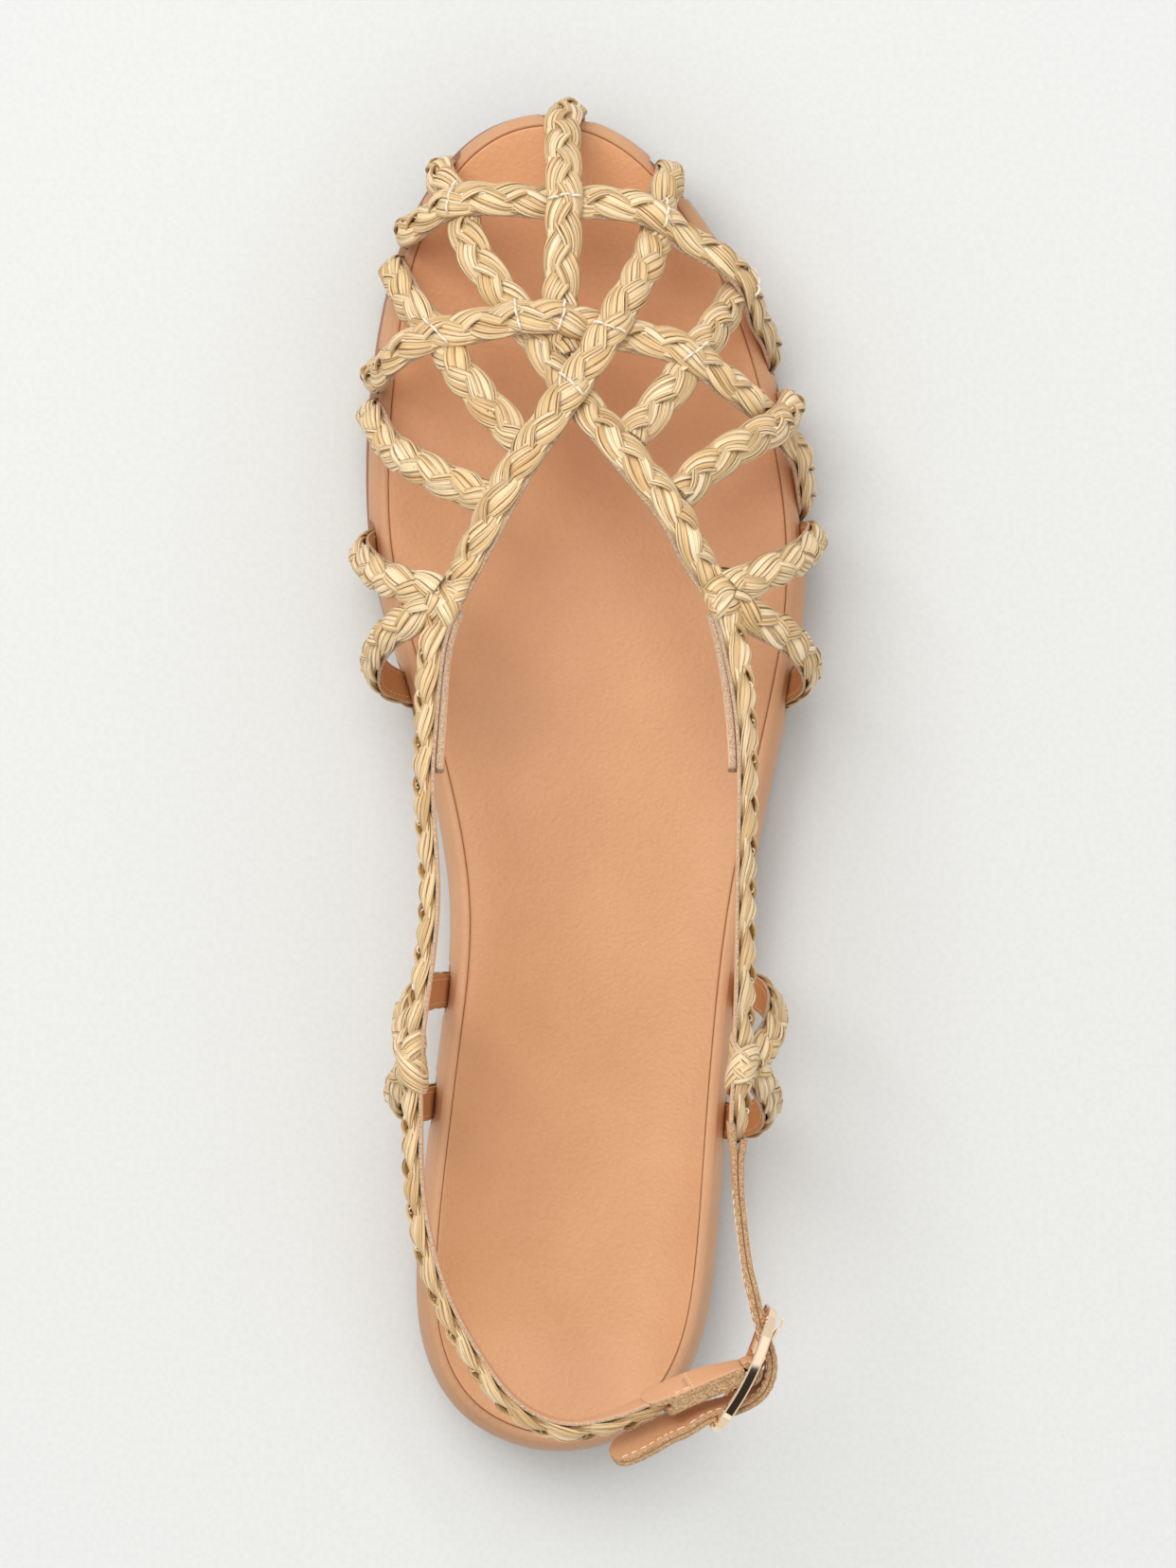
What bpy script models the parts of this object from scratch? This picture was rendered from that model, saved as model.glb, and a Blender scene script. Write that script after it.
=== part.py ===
"""A raffia cage sandal for the right foot, with a buckled slingback.

Tables are in millimetres in the shoe's own frame: X to the lateral side, Y from the heel's back end to the
toe, Z up from the floor. Columns called along are shares of the sole's length. One empty carries every
piece and puts the origin on the floor under the middle of the shoe.
"""
import math

import bmesh
import bpy
import numpy as np

MM = 0.001
NAME = "raffia_sandal"

# Driving sizes
SOLE_LENGTH = 255.0
BALL_WIDTH = 84.0
INSTEP_HEIGHT = 35.0
TOE_BOX_HEIGHT = 12.0
TOE_BOX_DEPTH = 14.0
INSTEP_REACH = 110.0
LAST_FULLNESS = 2.3
GAP = 0.3
WELD = 0.001

# How finely curves are followed before their points are spaced
OUTLINE_SAMPLES = 4001
COLUMN_SAMPLES = 400
PATH_SAMPLES = 1200
EDGE_REACH = 20
SLOPE_STEP = 0.05

# Sole outline, with columns along, medial and lateral, the last two as shares of the ball's width
OUTLINE = (
    (0.022, -0.265, 0.138),
    (0.065, -0.360, 0.237),
    (0.122, -0.390, 0.282),
    (0.220, -0.369, 0.308),
    (0.318, -0.333, 0.332),
    (0.412, -0.315, 0.367),
    (0.518, -0.373, 0.431),
    (0.602, -0.444, 0.483),
    (0.667, -0.490, 0.498),
    (0.737, -0.500, 0.479),
    (0.804, -0.487, 0.431),
    (0.875, -0.448, 0.349),
    (0.935, -0.376, 0.233),
    (0.982, -0.256, 0.089),
)
HEEL_TIP_SIDE = -0.063
TOE_TIP_SIDE = -0.093
SPINE_ENDS = (0.10, 0.88)

# Sole layers and bottom line
RING_STATIONS = 30
STATION_STEP = 16.0
STATION_TURN = 11.0
TOE_SPRING = 8.0
SPRING_START = 0.765
ARCH_LIFT = 1.5
ARCH_ENDS = (0.29, 0.56)
OUTSOLE_THICK = 3.2
INSOLE_THICK = 1.4
INSOLE_INSET = 4.4
INSOLE_RINGS = (0.0, 0.15, 0.5, 1.0)
SEAT_RINGS = (0.0, 0.35, 0.7, 1.0)
RECESS_INSET = 4.0
ARCH_PAD = 2.0
ARCH_PAD_PLACE = 0.39
ARCH_PAD_LENGTH = 0.11

# Footbed top, with columns along, rim (height before toe spring) and dish (depth of its middle)
FOOTBED = (
    (0.00, 24.0, 3.5),
    (0.14, 24.0, 4.0),
    (0.31, 22.5, 2.5),
    (0.43, 21.0, 1.5),
    (0.65, 17.5, 1.0),
    (0.84, 15.5, 1.0),
    (1.00, 14.0, 1.0),
)
# Footbed side, with columns level (share of its height) and inset (how far it lies inside the outline)
SIDE = (
    (0.00, 4.5),
    (0.12, 2.4),
    (0.30, 0.7),
    (0.52, 0.0),
    (0.76, 0.4),
    (0.91, 1.5),
    (1.00, 3.5),
)
# Outsole edge, with columns level (share of its thickness) and inset
OUTSOLE_EDGE = ((0.0, 0.9), (0.25, 0.2), (0.8, 0.0), (1.0, 0.5))
OUTSOLE_FRONT_LIP = 0.8
LIP_START = 0.55
LIP_GROWTH = 0.2

# Straps
STRAP_WIDTH = 7.2
STRAP_THICK = 3.8
STRAP_CROWN = 0.3
STRAP_STEP = 14.0
STRAP_TURN = 28.0
LAST_CLEARANCE = 0.6
MAIN_TWIST = 30.0
TWIST_ENDS = (0.79, 0.64)
OVER = 1.5
UNDER = -1.5
TUCKED = -0.8
KNOT_SIZE = (10.5, 10.0, 9.0)
KNOT_SEGMENTS = 10
KNOT_RINGS = 6
ANKLE_KNOT_ROW = 7
# Strap end down the footbed's side, with columns height (over the outsole) and out (from the outline)
DROP = ((2.6, -3.6), (3.7, -2.0), (5.6, -0.5), (8.0, 0.3), (10.5, 0.6))
POCKET_REACH = 8.0

# Straps on the last, with columns along, across (-1 at the medial edge, 1 at the lateral edge) and lift
TOE_STRAP = ((0.995, 0.33, 0.0), (0.971, 0.11, 0.0), (0.935, 0.06, OVER), (0.892, 0.0, 0.0),
             (0.843, -0.05, UNDER), (0.812, -0.05, TUCKED))
MAIN_A = ((0.947, -0.91, 0.0), (0.926, -0.71, UNDER), (0.900, -0.57, 0.0), (0.873, -0.43, 0.0),
          (0.838, -0.235, UNDER), (0.812, -0.12, UNDER), (0.790, -0.04, UNDER), (0.772, 0.05, UNDER),
          (0.746, 0.15, OVER), (0.718, 0.28, OVER), (0.691, 0.39, OVER), (0.666, 0.47, 0.5),
          (0.640, 0.57, 0.0))
MAIN_B = ((0.945, 0.90, 0.0), (0.931, 0.78, UNDER), (0.908, 0.63, UNDER), (0.882, 0.47, 0.0),
          (0.857, 0.32, OVER), (0.835, 0.21, OVER), (0.804, 0.06, OVER), (0.786, -0.03, OVER),
          (0.758, -0.16, OVER), (0.731, -0.28, OVER), (0.707, -0.37, OVER), (0.676, -0.49, 0.5),
          (0.637, -0.65, 0.0))
ARC_1 = ((0.911, -0.97, 0.0), (0.918, -0.88, 0.0), (0.926, -0.68, OVER), (0.929, -0.43, 0.5),
         (0.930, -0.11, UNDER), (0.929, 0.10, UNDER), (0.926, 0.32, 0.5), (0.916, 0.60, OVER),
         (0.902, 0.75, 0.5), (0.885, 0.865, OVER), (0.868, 0.935, OVER))
ARC_2 = ((0.803, -0.97, 0.0), (0.806, -0.93, 0.0), (0.813, -0.85, OVER), (0.825, -0.70, OVER),
         (0.833, -0.50, 0.5), (0.837, -0.28, OVER), (0.837, -0.06, OVER), (0.833, 0.17, UNDER),
         (0.824, 0.39, 0.0), (0.811, 0.55, OVER), (0.795, 0.70, 0.5), (0.780, 0.83, 0.0),
         (0.769, 0.93, UNDER))
MEDIAL_2 = ((0.876, -0.965, 0.0), (0.862, -0.89, 0.0), (0.846, -0.80, 0.0), (0.826, -0.68, UNDER),
            (0.806, -0.58, 0.0), (0.781, -0.45, 0.0), (0.762, -0.345, UNDER), (0.748, -0.26, TUCKED))
MEDIAL_3 = ((0.767, -0.96, 0.0), (0.750, -0.90, 0.0), (0.733, -0.76, 0.0), (0.719, -0.61, UNDER),
            (0.706, -0.40, TUCKED))
LATERAL_2 = ((0.866, 0.94, TUCKED), (0.854, 0.885, UNDER), (0.834, 0.74, UNDER), (0.812, 0.59, UNDER),
             (0.794, 0.48, 0.0), (0.773, 0.35, UNDER), (0.752, 0.22, TUCKED))
LATERAL_3 = ((0.777, 0.965, OVER), (0.769, 0.93, OVER), (0.759, 0.85, OVER), (0.743, 0.68, 0.0),
             (0.728, 0.54, UNDER), (0.709, 0.42, TUCKED))
# Where straps slip under the footbed, with columns along, side of the sole and slant towards the toe
TOE_FOOT = (1.000, 0, 0.0)
TOE_STRAP_SIDE = -3.7
MAIN_A_FOOT = (0.957, -1, 0.0)
MAIN_B_FOOT = (0.954, 1, 0.0)
ARC_1_FEET = ((0.914, -1, 0.0), (0.826, 1, 0.35))
ARC_2_FEET = ((0.806, -1, 0.0), (0.716, 1, 0.35))
MEDIAL_2_FOOT = (0.882, -1, -0.1)
MEDIAL_3_FOOT = (0.774, -1, -0.1)
LATERAL_3_FOOT = (0.781, 1, 0.0)
INSTEP_LOOP_M_FEET = ((0.676, -1, -0.1), (0.570, -1, 0.1))
INSTEP_LOOP_L_FEET = ((0.682, 1, 0.0), (0.570, 1, 0.1))
ANKLE_LOOP_M_FEET = ((0.345, -1, 0.0), (0.262, -1, 0.0))
ANKLE_LOOP_L_FEET = ((0.343, 1, 0.0), (0.247, 1, 0.0))

# Strap ends that run down the sole's side, with columns along, z, out (from the outline) and lean
ARC_1_TAIL = ((0.853, 24.0, -0.2, 22), (0.837, 17.6, 0.4, 5))
ARC_2_TAIL = ((0.748, 25.0, 0.2, 15), (0.731, 18.4, 0.6, 3))

# Free straps, with columns x, along, z and lean (of the outer face from upright)
SLING_A = ((27.6, 0.602, 59.5, 30), (28.9, 0.559, 61.0, 12), (29.3, 0.518, 62.5, 3), (29.1, 0.471, 64.0, 0),
           (28.8, 0.416, 65.5, 0), (28.7, 0.369, 67.0, 0), (28.4, 0.328, 68.0, 0), (28.1, 0.300, 68.5, 0),
           (27.6, 0.254, 69.0, 0))
SLING_B = ((-29.3, 0.597, 59.0, 30), (-29.9, 0.546, 61.0, 12), (-30.1, 0.498, 62.5, 3),
           (-29.3, 0.450, 64.0, 0), (-29.0, 0.416, 65.5, 0), (-29.8, 0.376, 66.8, 0), (-31.4, 0.328, 68.0, 0),
           (-32.0, 0.298, 68.5, 0), (-32.0, 0.254, 69.5, 0), (-31.7, 0.213, 70.5, 0), (-30.1, 0.173, 71.5, 0),
           (-27.5, 0.139, 72.5, 0), (-24.3, 0.112, 73.5, 0), (-20.3, 0.086, 74.3, 0), (-15.7, 0.062, 75.0, 0),
           (-10.5, 0.046, 75.0, 0), (-3.6, 0.038, 75.0, 0), (3.3, 0.042, 75.0, -4), (8.4, 0.049, 75.0, -8),
           (12.2, 0.056, 74.8, -11))
INSTEP_LOOP_M = ((-43.0, 0.667, 32.0, 5), (-39.6, 0.652, 46.0, 35), (-34.4, 0.644, 54.0, 55),
                 (-27.6, 0.638, 58.5, 60), (-32.4, 0.621, 55.5, 50), (-36.8, 0.612, 50.0, 40),
                 (-39.8, 0.600, 42.0, 20), (-40.8, 0.589, 33.0, 0), (-39.4, 0.577, 23.0, -15))
INSTEP_LOOP_L = ((43.0, 0.679, 33.0, 5), (40.8, 0.667, 44.0, 25), (36.2, 0.657, 52.5, 45),
                 (31.0, 0.648, 57.0, 55), (26.4, 0.640, 59.0, 60), (31.0, 0.621, 56.0, 50),
                 (36.0, 0.611, 50.5, 40), (40.2, 0.599, 43.0, 25), (42.0, 0.587, 34.0, 0),
                 (41.4, 0.577, 24.0, -8))
ANKLE_LOOP_M = ((-31.0, 0.345, 30.0, -24), (-33.6, 0.338, 41.0, -12), (-34.2, 0.325, 52.0, 16),
                (-33.8, 0.311, 61.0, 30), (-33.0, 0.298, 67.0, 40), (-34.6, 0.287, 61.0, 30),
                (-35.8, 0.276, 52.0, 14), (-35.2, 0.267, 41.0, -12), (-33.2, 0.262, 30.0, -24))
ANKLE_LOOP_L = ((31.6, 0.347, 30.0, -26), (34.6, 0.339, 41.0, -12), (35.0, 0.326, 52.0, 18),
                (33.4, 0.312, 61.0, 36), (30.0, 0.299, 67.0, 45), (32.4, 0.286, 61.0, 36),
                (33.9, 0.273, 52.0, 16), (33.9, 0.261, 41.0, -12), (31.2, 0.251, 30.0, -26))

# Buckle and its leather
LEATHER_WIDTH = 9.4
LEATHER_THICK = 2.0
LEATHER_STEP = 3.0
TAB_THICK = 4.6
TAB_LOOP_RADIUS = 2.6
TAB_NOTCH = 2.6
TAB_NOTCH_BACK = 4.0
TAB_EYE_SHORT = 0.4
BUCKLE_CENTRE = (29.3, 20.4, 73.5)
BUCKLE_HEADING = 64.3
BUCKLE_LEAN = 2.0
FRAME_LENGTH = 24.6
FRAME_HEIGHT = 17.0
FRAME_CORNER = 3.4
CORNER_STEPS = 5
FRAME_BOW = 1.6
FRAME_BAR_WIDE = 2.8
FRAME_BAR_THICK = 1.7
CENTRE_BAR_RADIUS = 1.0
PRONG_RADIUS = 0.6
PRONG_CLEARANCE = 0.45
PRONG_STEP = 1.3
ROUND_SIDES = 12
TAB_PATH = ((13.0, 0.0578, 74.8, -12), (17.0, 0.0650, 74.5, -14), (22.0, 0.0725, 74.0, -10),
            (28.3, 0.0795, 73.6, -3))
STRAP_RUN = ((27.6, 0.2515, 69.1, 0), (27.3, 0.220, 70.0, 0), (28.0, 0.186, 71.0, 0), (28.8, 0.160, 72.0, 0),
             (29.6, 0.139, 72.8, -2))
STRAP_TIP = ((14.4, 0.0360, 72.9, -12), (9.2, 0.0280, 72.4, -16), (4.2, 0.0225, 71.8, -16))
# The strap's way through the buckle, with columns along and out in the buckle's own frame
STRAP_THREAD = ((12.2, -4.2), (9.4, -3.5), (7.2, -0.4), (5.4, 2.2), (2.8, 4.1), (0.0, 4.7), (-2.8, 4.1),
                (-5.4, 2.2), (-7.2, -0.4), (-9.4, -3.5), (-12.2, -4.6))
# Prong route, with the same columns, and the turns of its hook round the centre bar in degrees
PRONG_ROUTE = ((1.6, 1.55), (5.2, 2.2), (10.4, 1.5), (12.8, 1.6))
PRONG_HOOK_TURNS = (250, 200, 150, 100, 50)
PRONG_HOOK_RADIUS = 1.95

LEATHER_COLOUR = (0.62, 0.36, 0.21)
GOLD_COLOUR = (0.86, 0.68, 0.40)
# Each piece's colour, roughness and metal
COLOURS = {
    "outsole": ((0.33, 0.18, 0.10), 0.7, 0.0),
    "footbed": (LEATHER_COLOUR, 0.5, 0.0),
    "insole": ((0.58, 0.32, 0.18), 0.5, 0.0),
    "upper": ((0.63, 0.45, 0.23), 0.55, 0.0),
    "buckle_strap": (LEATHER_COLOUR, 0.55, 0.0),
    "buckle_tab": (LEATHER_COLOUR, 0.55, 0.0),
    "buckle_frame": (GOLD_COLOUR, 0.18, 1.0),
    "buckle_prong": (GOLD_COLOUR, 0.18, 1.0),
}


# Curves and frames

def spline(knots, samples, closed=False):
    """Samples a smooth cubic through the knots, any number of columns wide."""
    points = np.asarray(knots, float)
    if closed:
        points = np.vstack([points, points[:1]])
    count = len(points)
    chords = np.linalg.norm(np.diff(points[:, :3], axis=0), axis=1)
    knot_at = np.concatenate([[0.0], np.cumsum(np.sqrt(chords))])
    span = np.diff(knot_at)
    system = np.zeros((count, count))
    target = np.zeros_like(points)
    for i in range(1, count - 1):
        system[i, i - 1:i + 2] = span[i - 1], 2 * (span[i - 1] + span[i]), span[i]
        target[i] = 6 * ((points[i + 1] - points[i]) / span[i] - (points[i] - points[i - 1]) / span[i - 1])
    if closed:
        system[0, 0], system[0, -1] = 1, -1
        system[-1, [0, 1, -2, -1]] = 2 * span[0], span[0], span[-1], 2 * span[-1]
        target[-1] = 6 * ((points[1] - points[0]) / span[0] - (points[-1] - points[-2]) / span[-1])
    else:
        system[0, 0] = system[-1, -1] = 1
    bend = np.linalg.solve(system, target)
    at = np.linspace(0.0, knot_at[-1], samples)
    i = np.clip(np.searchsorted(knot_at, at, side="right") - 1, 0, count - 2)
    t = (at - knot_at[i])[:, None]
    h = span[i][:, None]
    slope = (points[i + 1] - points[i]) / h - h * (2 * bend[i] + bend[i + 1]) / 6
    return points[i] + slope * t + bend[i] * t ** 2 / 2 + (bend[i + 1] - bend[i]) * t ** 3 / (6 * h)


def resample(path, step):
    """Spaces a path's rows evenly along its length."""
    lengths = np.concatenate([[0.0], np.cumsum(np.linalg.norm(np.diff(path[:, :3], axis=0), axis=1))])
    at = np.linspace(0.0, lengths[-1], max(3, int(round(lengths[-1] / step)) + 1))
    return np.stack([np.interp(at, lengths, values) for values in path.T], axis=1)


def bend_stations(path, step, turn):
    """Spaces a path's rows so that each spans at most about one step or one turn in degrees."""
    runs = np.diff(path[:, :3], axis=0)
    heading = unit(runs)
    facing = unit(path[:-1, 3:6])
    bend = np.zeros(len(runs))
    for lines in (heading, facing):
        cosines = np.clip(np.sum(lines[1:] * lines[:-1], axis=1), -1, 1)
        bend[1:] += np.degrees(np.arccos(cosines))
    share = np.concatenate([[0.0], np.cumsum(np.linalg.norm(runs, axis=1) / step + bend / turn)])
    at = np.linspace(0.0, share[-1], max(3, int(math.ceil(share[-1])) + 1))
    return np.stack([np.interp(at, share, values) for values in path.T], axis=1)


def unit(vectors):
    """Scales each vector to length one."""
    return vectors / np.linalg.norm(vectors, axis=-1, keepdims=True)


def column(table, index):
    """A smooth function of along through one column of a table."""
    rows = [(row[0] * SOLE_LENGTH, row[index]) for row in table]
    curve = spline(rows, COLUMN_SAMPLES)
    return lambda y: np.interp(y, curve[:, 0], curve[:, 1])


# The sole's outline and heights

def outline_curves():
    """Medial and lateral edges of the sole as fine curves from heel tip to toe tip."""
    outer = [(lateral * BALL_WIDTH, along * SOLE_LENGTH) for along, _, lateral in OUTLINE]
    inner = [(medial * BALL_WIDTH, along * SOLE_LENGTH) for along, medial, _ in OUTLINE]
    heel = [(HEEL_TIP_SIDE * BALL_WIDTH, 0.0)]
    toe = [(TOE_TIP_SIDE * BALL_WIDTH, SOLE_LENGTH)]
    loop = spline(heel + outer + toe + inner[::-1], OUTLINE_SAMPLES, closed=True)
    tip = int(np.argmax(loop[:, 1]))
    return loop[tip:][::-1], loop[:tip + 1]


MEDIAL_EDGE, LATERAL_EDGE = outline_curves()
RIM = column(FOOTBED, 1)
DISH = column(FOOTBED, 2)


def edge_x(y):
    """Medial and lateral x of the outline at a station."""
    medial = np.interp(y, MEDIAL_EDGE[:, 1], MEDIAL_EDGE[:, 0])
    lateral = np.interp(y, LATERAL_EDGE[:, 1], LATERAL_EDGE[:, 0])
    return medial, lateral


def middle_x(y):
    """The sole's centre line."""
    medial, lateral = edge_x(y)
    return (medial + lateral) / 2


def toe_spring(y):
    """How far the toe is lifted."""
    return TOE_SPRING * np.clip((y / SOLE_LENGTH - SPRING_START) / (1 - SPRING_START), 0, None) ** 2


def ground(y):
    """Height of the sole's underside: flat at heel and ball, lifted at the arch and the toe."""
    start, end = ARCH_ENDS
    share = np.clip((y / SOLE_LENGTH - start) / (end - start), 0, 1)
    return toe_spring(y) + ARCH_LIFT * np.sin(math.pi * share) ** 2


def rim_height(y):
    """Height of the footbed's rim over the floor."""
    return RIM(y) + toe_spring(y)


def top_height(x, y):
    """Height of the insole's upper face, dished between the rims, with a pad under the arch."""
    medial, lateral = edge_x(y)
    half = np.maximum((lateral - medial) / 2 - INSOLE_INSET, 1.0)
    across = np.clip((x - middle_x(y)) / half, -1, 1)
    ends = np.clip(np.minimum(y, SOLE_LENGTH - y) / (SOLE_LENGTH * SPINE_ENDS[0]), 0, 1)
    dish = DISH(y) * (1 - across ** 4) * np.sin(ends * math.pi / 2) ** 2
    pad = ARCH_PAD * np.exp(-((y / SOLE_LENGTH - ARCH_PAD_PLACE) / ARCH_PAD_LENGTH) ** 2)
    return rim_height(y) - dish + pad * np.clip(-across, 0, 1) ** 2 * (1 - across ** 8)


def edge_stations(edge):
    """Points on one edge of the outline, closer together round the heel and the toe."""
    runs = np.diff(edge, axis=0)
    heading = unit(runs)
    bend = np.degrees(np.arccos(np.clip(np.sum(heading[1:] * heading[:-1], axis=1), -1, 1)))
    share = np.linalg.norm(runs, axis=1) / STATION_STEP + np.append(bend, 0.0) / STATION_TURN
    share = np.concatenate([[0.0], np.cumsum(share)])
    at = np.linspace(0.0, share[-1], RING_STATIONS + 1)
    return np.stack([np.interp(at, share, values) for values in edge.T], axis=1)


def edge_ring(inset):
    """Plan points and outward normals of the outline moved inward, heel to toe and back."""
    lateral = edge_stations(LATERAL_EDGE)
    medial = edge_stations(MEDIAL_EDGE)
    ring = np.vstack([lateral, medial[-2:0:-1]])
    tangent = unit(np.roll(ring, -1, axis=0) - np.roll(ring, 1, axis=0))
    normal = np.stack([tangent[:, 1], -tangent[:, 0]], axis=1)
    return ring - normal * np.reshape(inset, (-1, 1)), normal


def spine_ring():
    """The outline drawn together onto the sole's centre line, each pair of sides on one point."""
    ring, _ = edge_ring(0.0)
    along = ring[:, 1].copy()
    for i in range(1, RING_STATIONS):
        along[i] = along[-i] = (ring[i, 1] + ring[-i, 1]) / 2
    low, high = (SOLE_LENGTH * end for end in SPINE_ENDS)
    y = low + (high - low) * along / SOLE_LENGTH
    return np.stack([middle_x(y), y], axis=1)


def raised(plan, height):
    """Plan points with a height for each."""
    return np.column_stack([plan, np.broadcast_to(height, len(plan))])


# Meshes and objects

def clear_scene():
    """Empties the file of objects and of unused data."""
    for thing in list(bpy.data.objects):
        bpy.data.objects.remove(thing, do_unlink=True)
    for group in list(bpy.data.collections):
        bpy.data.collections.remove(group)


def collection(name, hidden=False):
    """A collection in the scene."""
    group = bpy.data.collections.new(name)
    bpy.context.scene.collection.children.link(group)
    group.hide_render = hidden
    return group


def material(name):
    """One Principled material with the piece's colour, roughness and metal."""
    colour, roughness, metallic = COLOURS[name]
    result = bpy.data.materials.new(name)
    result.use_nodes = True
    shader = result.node_tree.nodes["Principled BSDF"]
    shader.inputs["Base Color"].default_value = (*colour, 1.0)
    shader.inputs["Roughness"].default_value = roughness
    shader.inputs["Metallic"].default_value = metallic
    return result


def add_object(name, bm, group):
    """Links a bmesh, given in millimetres, as an object in metres."""
    bmesh.ops.scale(bm, vec=(MM, MM, MM), verts=bm.verts)
    bmesh.ops.recalc_face_normals(bm, faces=bm.faces)
    mesh = bpy.data.meshes.new(name)
    bm.to_mesh(mesh)
    bm.free()
    thing = bpy.data.objects.new(name, mesh)
    group.objects.link(thing)
    if name in COLOURS:
        mesh.materials.append(material(name))
    return thing


def as_cutter(thing):
    """Hides a helper solid from renders and draws it as wire."""
    thing.hide_render = True
    thing.display_type = "WIRE"
    return thing


def combine(thing, other, operation):
    """Joins or cuts with another object or a whole collection."""
    step = thing.modifiers.new(operation.lower(), "BOOLEAN")
    step.operation = operation
    step.solver = "EXACT"
    if isinstance(other, bpy.types.Collection):
        step.operand_type = "COLLECTION"
        step.collection = other
    else:
        step.object = other


def loft(name, rings, group):
    """Skins a list of rings whose first and last lie folded together on the spine."""
    bm = bmesh.new()
    rows = [[bm.verts.new(point) for point in ring] for ring in rings]
    for lower, upper in zip(rows, rows[1:]):
        for i in range(len(lower)):
            j = (i + 1) % len(lower)
            bm.faces.new((lower[i], lower[j], upper[j], upper[i]))
    bmesh.ops.remove_doubles(bm, verts=bm.verts, dist=WELD)
    return add_object(name, bm, group)


def ribbon(name, path, width, thick, crown, group):
    """A strap: a grid laid along a path of points and outward normals, with thickness."""
    tangent = unit(np.gradient(path[:, :3], axis=0))
    normal = path[:, 3:6]
    normal = unit(normal - tangent * np.sum(normal * tangent, axis=1, keepdims=True))
    side = np.cross(tangent, normal)
    bm = bmesh.new()
    bmesh.ops.create_grid(bm, x_segments=len(path) - 1, y_segments=2, size=1.0)
    last = len(path) - 1
    for vert in bm.verts:
        i = int(round((vert.co.x + 1) / 2 * last))
        across = vert.co.y
        rise = crown * (1 - across ** 2)
        vert.co = path[i, :3] + side[i] * across * width / 2 + normal[i] * rise
    thing = add_object(name, bm, group)
    wall = thing.modifiers.new("wall", "SOLIDIFY")
    wall.thickness = thick * MM
    wall.offset = 0.0
    wall.use_even_offset = True
    return thing


# Strap routes

def outward(x, y):
    """Level direction away from the middle of the shoe."""
    low, high = (SOLE_LENGTH * end for end in SPINE_ENDS)
    inner = np.clip(y, low, high)
    away = np.array([x - middle_x(inner), y - inner])
    return away / np.linalg.norm(away)


def last_height(x, y):
    """Height of the straps' middle on the last."""
    medial, lateral = edge_x(y)
    centre = (medial + lateral) / 2
    half = (lateral - medial) / 2 + LAST_CLEARANCE
    back = np.clip(SOLE_LENGTH + LAST_CLEARANCE - y, 0, None)
    toe = np.sqrt(1 - (1 - np.minimum(back / TOE_BOX_DEPTH, 1)) ** 2)
    instep = 1 - (1 - np.minimum(back / INSTEP_REACH, 1)) ** 2
    crown = TOE_BOX_HEIGHT * toe + INSTEP_HEIGHT * instep
    across = np.clip(np.abs(x - centre) / half, 0, 1)
    return rim_height(y) + crown * (1 - across ** LAST_FULLNESS) ** (1 / LAST_FULLNESS)


def on_last(rows, twist=0.0):
    """Points and normals for rows of along, across and lift, turned on edge towards the knots."""
    found = []
    for along, across, lift in rows:
        y = along * SOLE_LENGTH
        medial, lateral = edge_x(y)
        x = (medial + lateral) / 2 + across * ((lateral - medial) / 2 + LAST_CLEARANCE)
        slope_x = (last_height(x + SLOPE_STEP, y) - last_height(x - SLOPE_STEP, y)) / (2 * SLOPE_STEP)
        slope_y = (last_height(x, y + SLOPE_STEP) - last_height(x, y - SLOPE_STEP)) / (2 * SLOPE_STEP)
        normal = unit(np.array([-slope_x, -slope_y, 1.0]))
        point = np.array([x, y, last_height(x, y)]) + normal * lift
        start, end = TWIST_ENDS
        turn = math.radians(twist * np.clip((start - along) / (start - end), 0, 1))
        level = np.append(outward(x, y), 0.0)
        normal = unit(normal * math.cos(turn) + level * math.sin(turn))
        found.append(np.concatenate([point, normal]))
    return found


def free(rows):
    """Points and normals for rows of x, along, z and lean, on straps that climb."""
    found = []
    for x, along, z, lean in rows:
        y = along * SOLE_LENGTH
        level = outward(x, y) * math.cos(math.radians(lean))
        found.append(np.array([x, y, z, level[0], level[1], math.sin(math.radians(lean))]))
    return found


def level_run(rows):
    """The same for straps that run level, whose outer face is square to the run."""
    found = free(rows)
    plan = np.array([row[:2] for row in found])
    run = unit(np.gradient(plan, axis=0))
    for i, row in enumerate(found):
        square = np.array([run[i, 1], -run[i, 0]])
        square *= math.copysign(1.0, square @ row[3:5])
        row[3:5] = square * np.linalg.norm(row[3:5])
    return found


def beside_sole(along, side, out):
    """A plan point beside the outline, and the outline's normal there."""
    if side == 0:
        return np.array([TOE_STRAP_SIDE, SOLE_LENGTH + out]), np.array([0.0, 1.0])
    edge = MEDIAL_EDGE if side < 0 else LATERAL_EDGE
    nearest = int(np.argmin(np.abs(edge[:, 1] - along * SOLE_LENGTH)))
    before = edge[max(nearest - EDGE_REACH, 0)]
    after = edge[min(nearest + EDGE_REACH, len(edge) - 1)]
    run = unit(after - before)
    normal = np.array([run[1], -run[0]]) * side
    return edge[nearest] + normal * out, normal


def into_sole(foot):
    """Points from a strap's foot on the outsole up the side of the footbed."""
    along, side, slant = foot
    found = []
    for height, out in DROP:
        shift = slant * (height - DROP[-1][0])
        place, normal = beside_sole(along + shift / SOLE_LENGTH, side, out)
        base = ground(along * SOLE_LENGTH) + OUTSOLE_THICK
        found.append(np.array([*place, base + height, *normal, 0.0]))
    return found


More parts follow.
